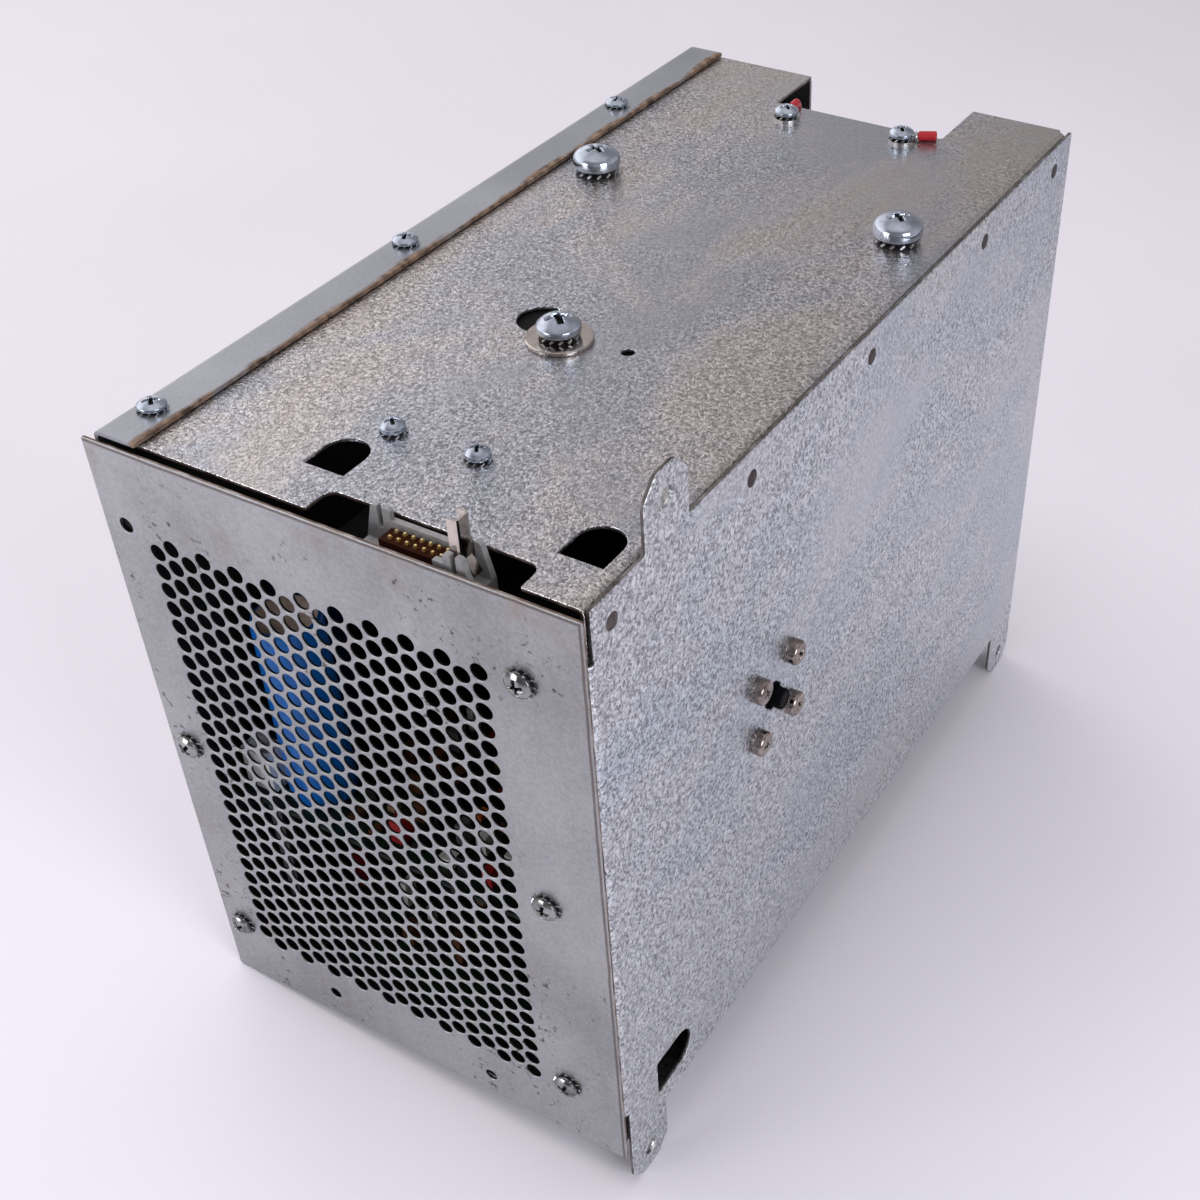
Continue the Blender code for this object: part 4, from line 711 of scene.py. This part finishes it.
# The black moulded boss of the module behind the side port stands out through it. Its round
# end is sunk a little inside a rounded rim.
BOSS_IN = 5.8                                  # how far behind the side's face the boss begins
boss = [(0.0, 0.0), (3.25, 0.0), (3.25, 8.9), (3.15, 9.3), (2.9, 9.5), (2.3, 9.5), (2.2, 9.3), (0.0, 9.3)]
piece("module_boss", [turned(boss, 40, (CHASSIS_W - BOSS_IN, PORT_Y, PORT_Z), "+X")],
      [moulded("black_moulding", (0.004, 0.004, 0.0045), 0.6, 0.03)])

# Fourteen square gold-plated pins, drawn from wire and pointed, stand in two rows in a brown
# insulator that is pressed into the header's base.
PIN_PITCH, PIN_HALF, PIN_FOOT, PIN_TOP, PIN_POINT, PINS = 2.54, 0.5, 200.6, 206.0, 0.7, 7
HEADER_X, HEADER_Y = 99.15, 7.0
INSERT_X, INSERT_Y, INSERT_Z0, INSERT_Z1 = 10.3, 2.5, 200.05, 204.8


def blocks(lo, hi, taper=1.0, finish=0):
    """Upright boxes from corners lo to hi, one per row, whose tops are drawn in by taper."""
    lo, hi = np.atleast_2d(np.asarray(lo, float)), np.atleast_2d(np.asarray(hi, float))
    mid, reach = (lo + hi) / 2, (hi - lo) / 2
    turn4 = np.array(((-1, -1), (1, -1), (1, 1), (-1, 1)))
    rows = []
    for shrink, z in ((1.0, lo[:, 2]), (taper, hi[:, 2])):
        xy = mid[:, None, :2] + turn4[None] * reach[:, None, :2] * shrink
        rows.append(np.concatenate((xy, np.broadcast_to(z[:, None, None], xy.shape[:2] + (1,))), -1))
    p = np.stack(rows, 1).reshape(-1, 3)
    base = np.arange(len(lo))[:, None] * 8
    faces = np.concatenate((closed_grid(2, 4, len(lo)), base + (3, 2, 1, 0), base + (4, 5, 6, 7)))
    marks = np.broadcast_to(finish, len(lo))
    return p, faces, False, np.concatenate((np.repeat(marks, 4), marks, marks))


columns = HEADER_X + (np.arange(PINS) - PINS // 2) * PIN_PITCH
pin_x, pin_y = np.meshgrid(columns, HEADER_Y + np.array((-0.5, 0.5)) * PIN_PITCH)
foot_of = np.column_stack((pin_x.ravel(), pin_y.ravel(), np.full(pin_x.size, PIN_FOOT)))
shaft_h = PIN_TOP - PIN_POINT - PIN_FOOT
shaft = blocks(foot_of - (PIN_HALF, PIN_HALF, 0), foot_of + (PIN_HALF, PIN_HALF, shaft_h))
tips = foot_of + (0, 0, shaft_h)
point = blocks(tips - (PIN_HALF, PIN_HALF, 0), tips + (PIN_HALF, PIN_HALF, PIN_POINT), 0.6)
insert = blocks((HEADER_X - INSERT_X, HEADER_Y - INSERT_Y, INSERT_Z0),
                (HEADER_X + INSERT_X, HEADER_Y + INSERT_Y, INSERT_Z1), 1.0, 1)
GOLD = plated("gold_plate", (1.0, 0.80, 0.38), 0.22, (1.0, 0.70, 0.26))
BROWN = moulded("brown_moulding", (0.030, 0.009, 0.005), 0.7, 0.05)
piece("header_contacts", [shaft, point, insert], [GOLD, BROWN], ["header_pins"])

# Crimped ring tags of tinned copper under the two earth screws. Each barrel ends in a short
# red vinyl sleeve, and the first one turns down into the notch.
TINNED = plated("tinned_copper", (0.62, 0.61, 0.60), 0.28, (0.44, 0.43, 0.42))
RED = moulded("red_vinyl", (0.36, 0.008, 0.014), 0.35)
EYE_IN, EYE_OUT, EYE_T = 2.2, 4.4, 0.8         # the flat ring
BARREL_FROM, BARREL_TO, BARREL_R = 3.4, 5.6, 1.35
SLEEVE_FROM, SLEEVE_TO, SLEEVE_R = 5.2, 11.8, 1.55


def tube(path, radius, n=20, finish=0):
    """A round section carried along a path in a plane that holds the vertical: at each row the
    middle plus radius times (cos, sin) on the path's own level and upright normals."""
    path, radius = np.asarray(path, float), np.broadcast_to(radius, len(path))
    along = np.gradient(path, axis=0)
    along /= np.linalg.norm(along, axis=1)[:, None]
    level = np.cross(path[-1] - path[0], (0.0, 0.0, 1.0))
    level = np.broadcast_to(level / np.linalg.norm(level), path.shape)
    up = np.cross(level, along)
    a = np.arange(n) * 2 * pi / n
    c, s = np.cos(a)[None, :, None], np.sin(a)[None, :, None]
    rings = path[:, None] + radius[:, None, None] * (level[:, None] * c + up[:, None] * s)
    return rings.reshape(-1, 3), closed_grid(len(path), n), True, finish


def ring_tag(name, x, y, turn_deg, drop, node):
    """A ring, a barrel and a sleeve along a direction given from +Y to +X, dropping past drop mm."""
    way = np.array((sin(radians(turn_deg)), cos(radians(turn_deg)), 0.0))
    s = np.linspace(SLEEVE_FROM, SLEEVE_TO, 24)
    fall = np.clip(s - drop, 0, None)
    run = s - fall * 0.55
    path = np.array((x, y, top + 1.6)) + run[:, None] * way - np.column_stack((0 * s, 0 * s, fall * 0.85))
    sleeve_r = np.concatenate(((0.0, 1.30, 1.5), np.full(20, SLEEVE_R), (0.0,)))
    barrel = np.array((x, y, top + 1.5)) + np.linspace(BARREL_FROM, BARREL_TO, 6)[:, None] * way
    barrel_r = np.array((0.0, 1.15, BARREL_R, BARREL_R, BARREL_R, 0.0))
    flat = [(EYE_IN, 0.0), (EYE_OUT, 0.0), (EYE_OUT, EYE_T), (EYE_IN, EYE_T), (EYE_IN, 0.0)]
    eye = turned(flat, 40, (x, y, top), "+Z", False)
    patches = [eye, tube(barrel, barrel_r), tube(path, sleeve_r, 20, 1)]
    piece(name, patches, [TINNED, RED], [node])


ring_tag("ring_tag_left", *EARTH_SPOTS[0], -8.0, 9.5, "earth_tag_1")
ring_tag("ring_tag_right", *EARTH_SPOTS[1], 62.0, 12.0, "earth_tag_2")

# The small electrolytic can behind the panel is drawn aluminium in a shrunk blue sleeve. The
# top of the can shows inside the sleeve's rolled edge.


def span(node):
    """A solid's box in chassis millimetres."""
    low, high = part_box(node)
    return (np.array(low) - corner) * 1000, (np.array(high) - corner) * 1000


can_low, can_high = span("capacitor_1")
can_x, can_y = (can_low[:2] + can_high[:2]) / 2
can_h, can_r = can_high[2] - can_low[2], (can_high[0] - can_low[0]) / 2
CAN_RIM, CAN_SUNK = 1.2, 0.5                   # width of the rolled edge, depth of the top inside it
sleeve = [(0.0, 0.0), (can_r - 0.5, 0.0), (can_r, 0.6), (can_r, can_h - 1.4), (can_r - 0.3, can_h - 0.4),
          (can_r - CAN_RIM, can_h)]
lid = [(can_r - CAN_RIM, can_h), (can_r - CAN_RIM - CAN_SUNK, can_h - CAN_SUNK), (0.0, can_h - CAN_SUNK)]
spot_1 = (can_x, can_y, can_low[2])
CAN_LID = moulded("can_top", (0.66, 0.50, 0.42), 0.5)
BLUE = moulded("blue_sleeve", (0.004, 0.16, 0.60), 0.35)
can_parts = [turned(sleeve, 40, spot_1), turned(lid, 40, spot_1, "+Z", True, 1)]
piece("front_can", can_parts, [BLUE, CAN_LID], ["capacitor_1"])

# Small soldered parts on the two boards, glimpsed through the panel's holes: dark chips,
# brown and tan resistors, a few red, orange and white bodies.
board_high, power_high = span("control_board")[1], span("power_board")[1]
chance = np.random.default_rng(7)
KIND_SHARES = (0.44, 0.20, 0.10, 0.06, 0.08, 0.06, 0.06)


def on_board(xs, ys, z, tall):
    """One block at each place of a grid on a board, each of its own size and finish."""
    x, y = (g.ravel() for g in np.meshgrid(xs, ys))
    k = len(x)
    low = np.column_stack((x, y, np.full(k, z)))
    low[:, :2] += chance.uniform(-1, 1, (k, 2))
    wide, deep, high = chance.uniform(1.5, 5, k), chance.uniform(1.5, 6, k), chance.uniform(1.2, tall, k)
    size = np.column_stack((wide, deep, high))
    kinds = chance.choice(len(KIND_SHARES), k, p=KIND_SHARES)
    return blocks(low, low + size, 0.94, kinds)


upper = on_board(np.arange(46, board_high[0] - 8, 8.5), np.arange(14, 72, 10.0), board_high[2], 9.0)
lower = on_board(np.arange(20, power_high[0] - 12, 10.0), np.arange(24, 90, 12.0), power_high[2], 16.0)
part_colours = (("chip_black", (0.008, 0.008, 0.009)), ("resistor_brown", (0.10, 0.036, 0.016)),
                ("resistor_tan", (0.26, 0.155, 0.09)), ("red_body", (0.30, 0.012, 0.014)),
                ("orange_body", (0.45, 0.11, 0.016)), ("white_body", (0.66, 0.65, 0.63)),
                ("grey_body", (0.10, 0.10, 0.105)))
part_finishes = [moulded(name, colour, 0.45, 0.3) for name, colour in part_colours]
piece("board_parts", [upper, lower], part_finishes)

# Bodies that keep the shape of their solids: boards of green laminate, turned spacers, the black
# anodised heat sink, folded inner sheets, the moulded header and the wound choke.


def laminate(name):
    """Board laminate: dark green lacquer, uneven over the glass weave."""
    mat, tree, body, place = shader(name, (0.006, 0.016, 0.009), 0.5, 0.0)
    body.inputs["Specular IOR Level"].default_value = 0.25
    weave = noise(tree, place, 240.0)
    green = ramp(tree, weave, (0.4, (0.004, 0.010, 0.006)), (0.6, (0.008, 0.022, 0.012)))
    tree.links.new(green, body.inputs["Base Color"])
    return mat


OXIDE = plated("oxide_black_steel", (0.10, 0.10, 0.105), 0.4, (0.05, 0.05, 0.052))
BOARD = laminate("board_laminate")
BLACK = moulded("black_sleeve", (0.005, 0.005, 0.0055), 0.5, 0.04)
# The bottom plate and the rear panel take the darker inner zinc, painted shade.
keeps = {"bottom_plate": SHADED_INNER_ZINC, "rear_panel": SHADED_INNER_ZINC, "header_latch": WARM_NICKEL,
         "heat_sink": moulded("black_anodised", (0.006, 0.006, 0.0065), 0.6, 0.1),
         "header_shroud": moulded("grey_moulding", (0.25, 0.245, 0.25), 0.5),
         "header_board": moulded("black_laminate", (0.008, 0.008, 0.008), 0.6, 0.1),
         "white_connector": moulded("white_nylon", (0.95, 0.95, 0.93), 0.45),
         "capacitor_2": moulded("navy_sleeve", (0.004, 0.012, 0.05), 0.4, 0.2),
         "choke_core": moulded("core_iron", (0.07, 0.065, 0.06), 0.6),
         "choke_winding": plated("copper_wire", (0.42, 0.17, 0.08), 0.3, (0.26, 0.10, 0.05)),
         "side_module": BLACK, "bus_capacitor_1": BLACK, "bus_capacitor_2": BLACK, "terminal_block": BLACK}
for name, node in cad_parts.items():
    if node.hide_render:
        continue
    usual = BOARD if name.endswith("_board") else BRIGHT if name.startswith("cover_screw_under") else OXIDE
    node.data.materials.clear()
    node.data.materials.append(keeps.get(name, usual))

# The pale table. The drive stands on its two right ears and its lower left front corner, so the
# table under it slopes by that much in the drive's own frame.
TABLE_REACH, TABLE_GAP = 5000, 0.05
slope = (EAR_DOWN + PANEL_Z0) / (CHASSIS_W - PANEL_X0)


def table_z(x):
    """Height of the table at x: through the ears' tips, rising to the left at the slope."""
    return -EAR_DOWN + (CHASSIS_W - x) * slope


TABLE, tree, body, place = shader("pale_table", (0.76, 0.735, 0.80), 0.5, 0.0)
body.inputs["Specular IOR Level"].default_value = 0.2
drift = noise(tree, place, 3.0, 3.0)
pale = ramp(tree, drift, (0.3, (0.74, 0.715, 0.78)), (0.7, (0.78, 0.755, 0.82)))
tree.links.new(pale, body.inputs["Base Color"])
mesh = bpy.data.meshes.new("table")
table_xy = TABLE_REACH * np.array(((-1, -1), (1, -1), (1, 1), (-1, 1)))
mesh.from_pydata(in_frame([(x, y, table_z(x) - TABLE_GAP) for x, y in table_xy]), [], [[0, 1, 2, 3]])
mesh.materials.append(TABLE)
table = bpy.data.objects.new("table", mesh)
bpy.context.scene.collection.objects.link(table)

# The sky is pale on the left, where the windows are, and overhead. It dims to the right and behind
# the camera. Three soft lamps help it: one overhead, one at the front left and a fill at the right.
BACK = (0.3766937, -0.6562530, 0.6537842)      # from the drive to the camera
SKY_STRENGTH, DRIVE_MIDDLE = 1.42, (75, 140, 100)
world = bpy.data.worlds.new("studio")
bpy.context.scene.world = world
world.use_nodes = True
tree = world.node_tree
way = tree.nodes.new("ShaderNodeTexCoord").outputs["Generated"]
facing = add(tree, "VectorMath", [(0, way), (1, BACK)], operation="DOT_PRODUCT").outputs["Value"]
split = add(tree, "SeparateXYZ", [("Vector", way)])
across = sums(tree, (split.outputs["X"], 0.5), 0.5)
overhead = mask(tree, split.outputs["Z"], 0.74, 0.95)
sky = ramp(tree, across, (0.06, (1.0, 0.97, 0.98)), (0.17, (0.78, 0.755, 0.765)), (0.24, (0.40, 0.388, 0.40)),
           (0.36, (0.24, 0.233, 0.242)), (0.55, (0.22, 0.215, 0.224)), (0.85, (0.36, 0.355, 0.365)))
dim = ramp(tree, sums(tree, (facing, 0.5), 0.5), (0.66, (1, 1, 1)), (0.92, (0.80, 0.80, 0.81)))
walls = blend(tree, 1.0, sky, dim, "MULTIPLY")
tree.links.new(blend(tree, overhead, walls, (0.52, 0.505, 0.515)), tree.nodes["Background"].inputs[0])
tree.nodes["Background"].inputs[1].default_value = SKY_STRENGTH


def soft_light(name, place, size, power, colour):
    """A square area lamp that looks at the middle of the drive."""
    lamp = bpy.data.lights.new(name, "AREA")
    lamp.size = size
    lamp.energy = power
    lamp.color = colour
    obj = bpy.data.objects.new(name, lamp)
    bpy.context.scene.collection.objects.link(obj)
    obj.location = Vector(in_frame(place))
    look = Vector(in_frame(DRIVE_MIDDLE)) - obj.location
    obj.rotation_euler = look.to_track_quat("-Z", "Y").to_euler()
    return obj


soft_light("ceiling", (-350, 150, 1400), 1.2, 10.0, (1.0, 0.98, 0.98)).visible_glossy = False
soft_light("window", (-560, -1100, 420), 0.6, 7.2, (0.98, 0.98, 1.0))
soft_light("fill", (950, -200, 420), 0.5, 4.2, (0.93, 0.96, 1.0))

# The camera stands at the front right and above, with its frame shifted as the photograph's is.
# RIGHT, UP and BACK are its own axes.
RIGHT, UP = (0.8689961, 0.4948025, -0.0040223), (-0.3208544, 0.5696512, 0.7566703)
CAMERA_SPOT = (324.264, -233.723, 445.063)
view = bpy.data.cameras.new("camera")
view.sensor_width = 36.0
view.lens = 50.886
view.shift_x = -0.1164
view.shift_y = 0.0525
view.clip_start = 0.01
camera = bpy.data.objects.new("camera", view)
bpy.context.scene.collection.objects.link(camera)
stand = Matrix.Translation(Vector(in_frame(CAMERA_SPOT)))
camera.matrix_world = stand @ Matrix((RIGHT, UP, BACK)).transposed().to_4x4()
bpy.context.scene.camera = camera
bpy.context.scene.view_settings.view_transform = "Standard"
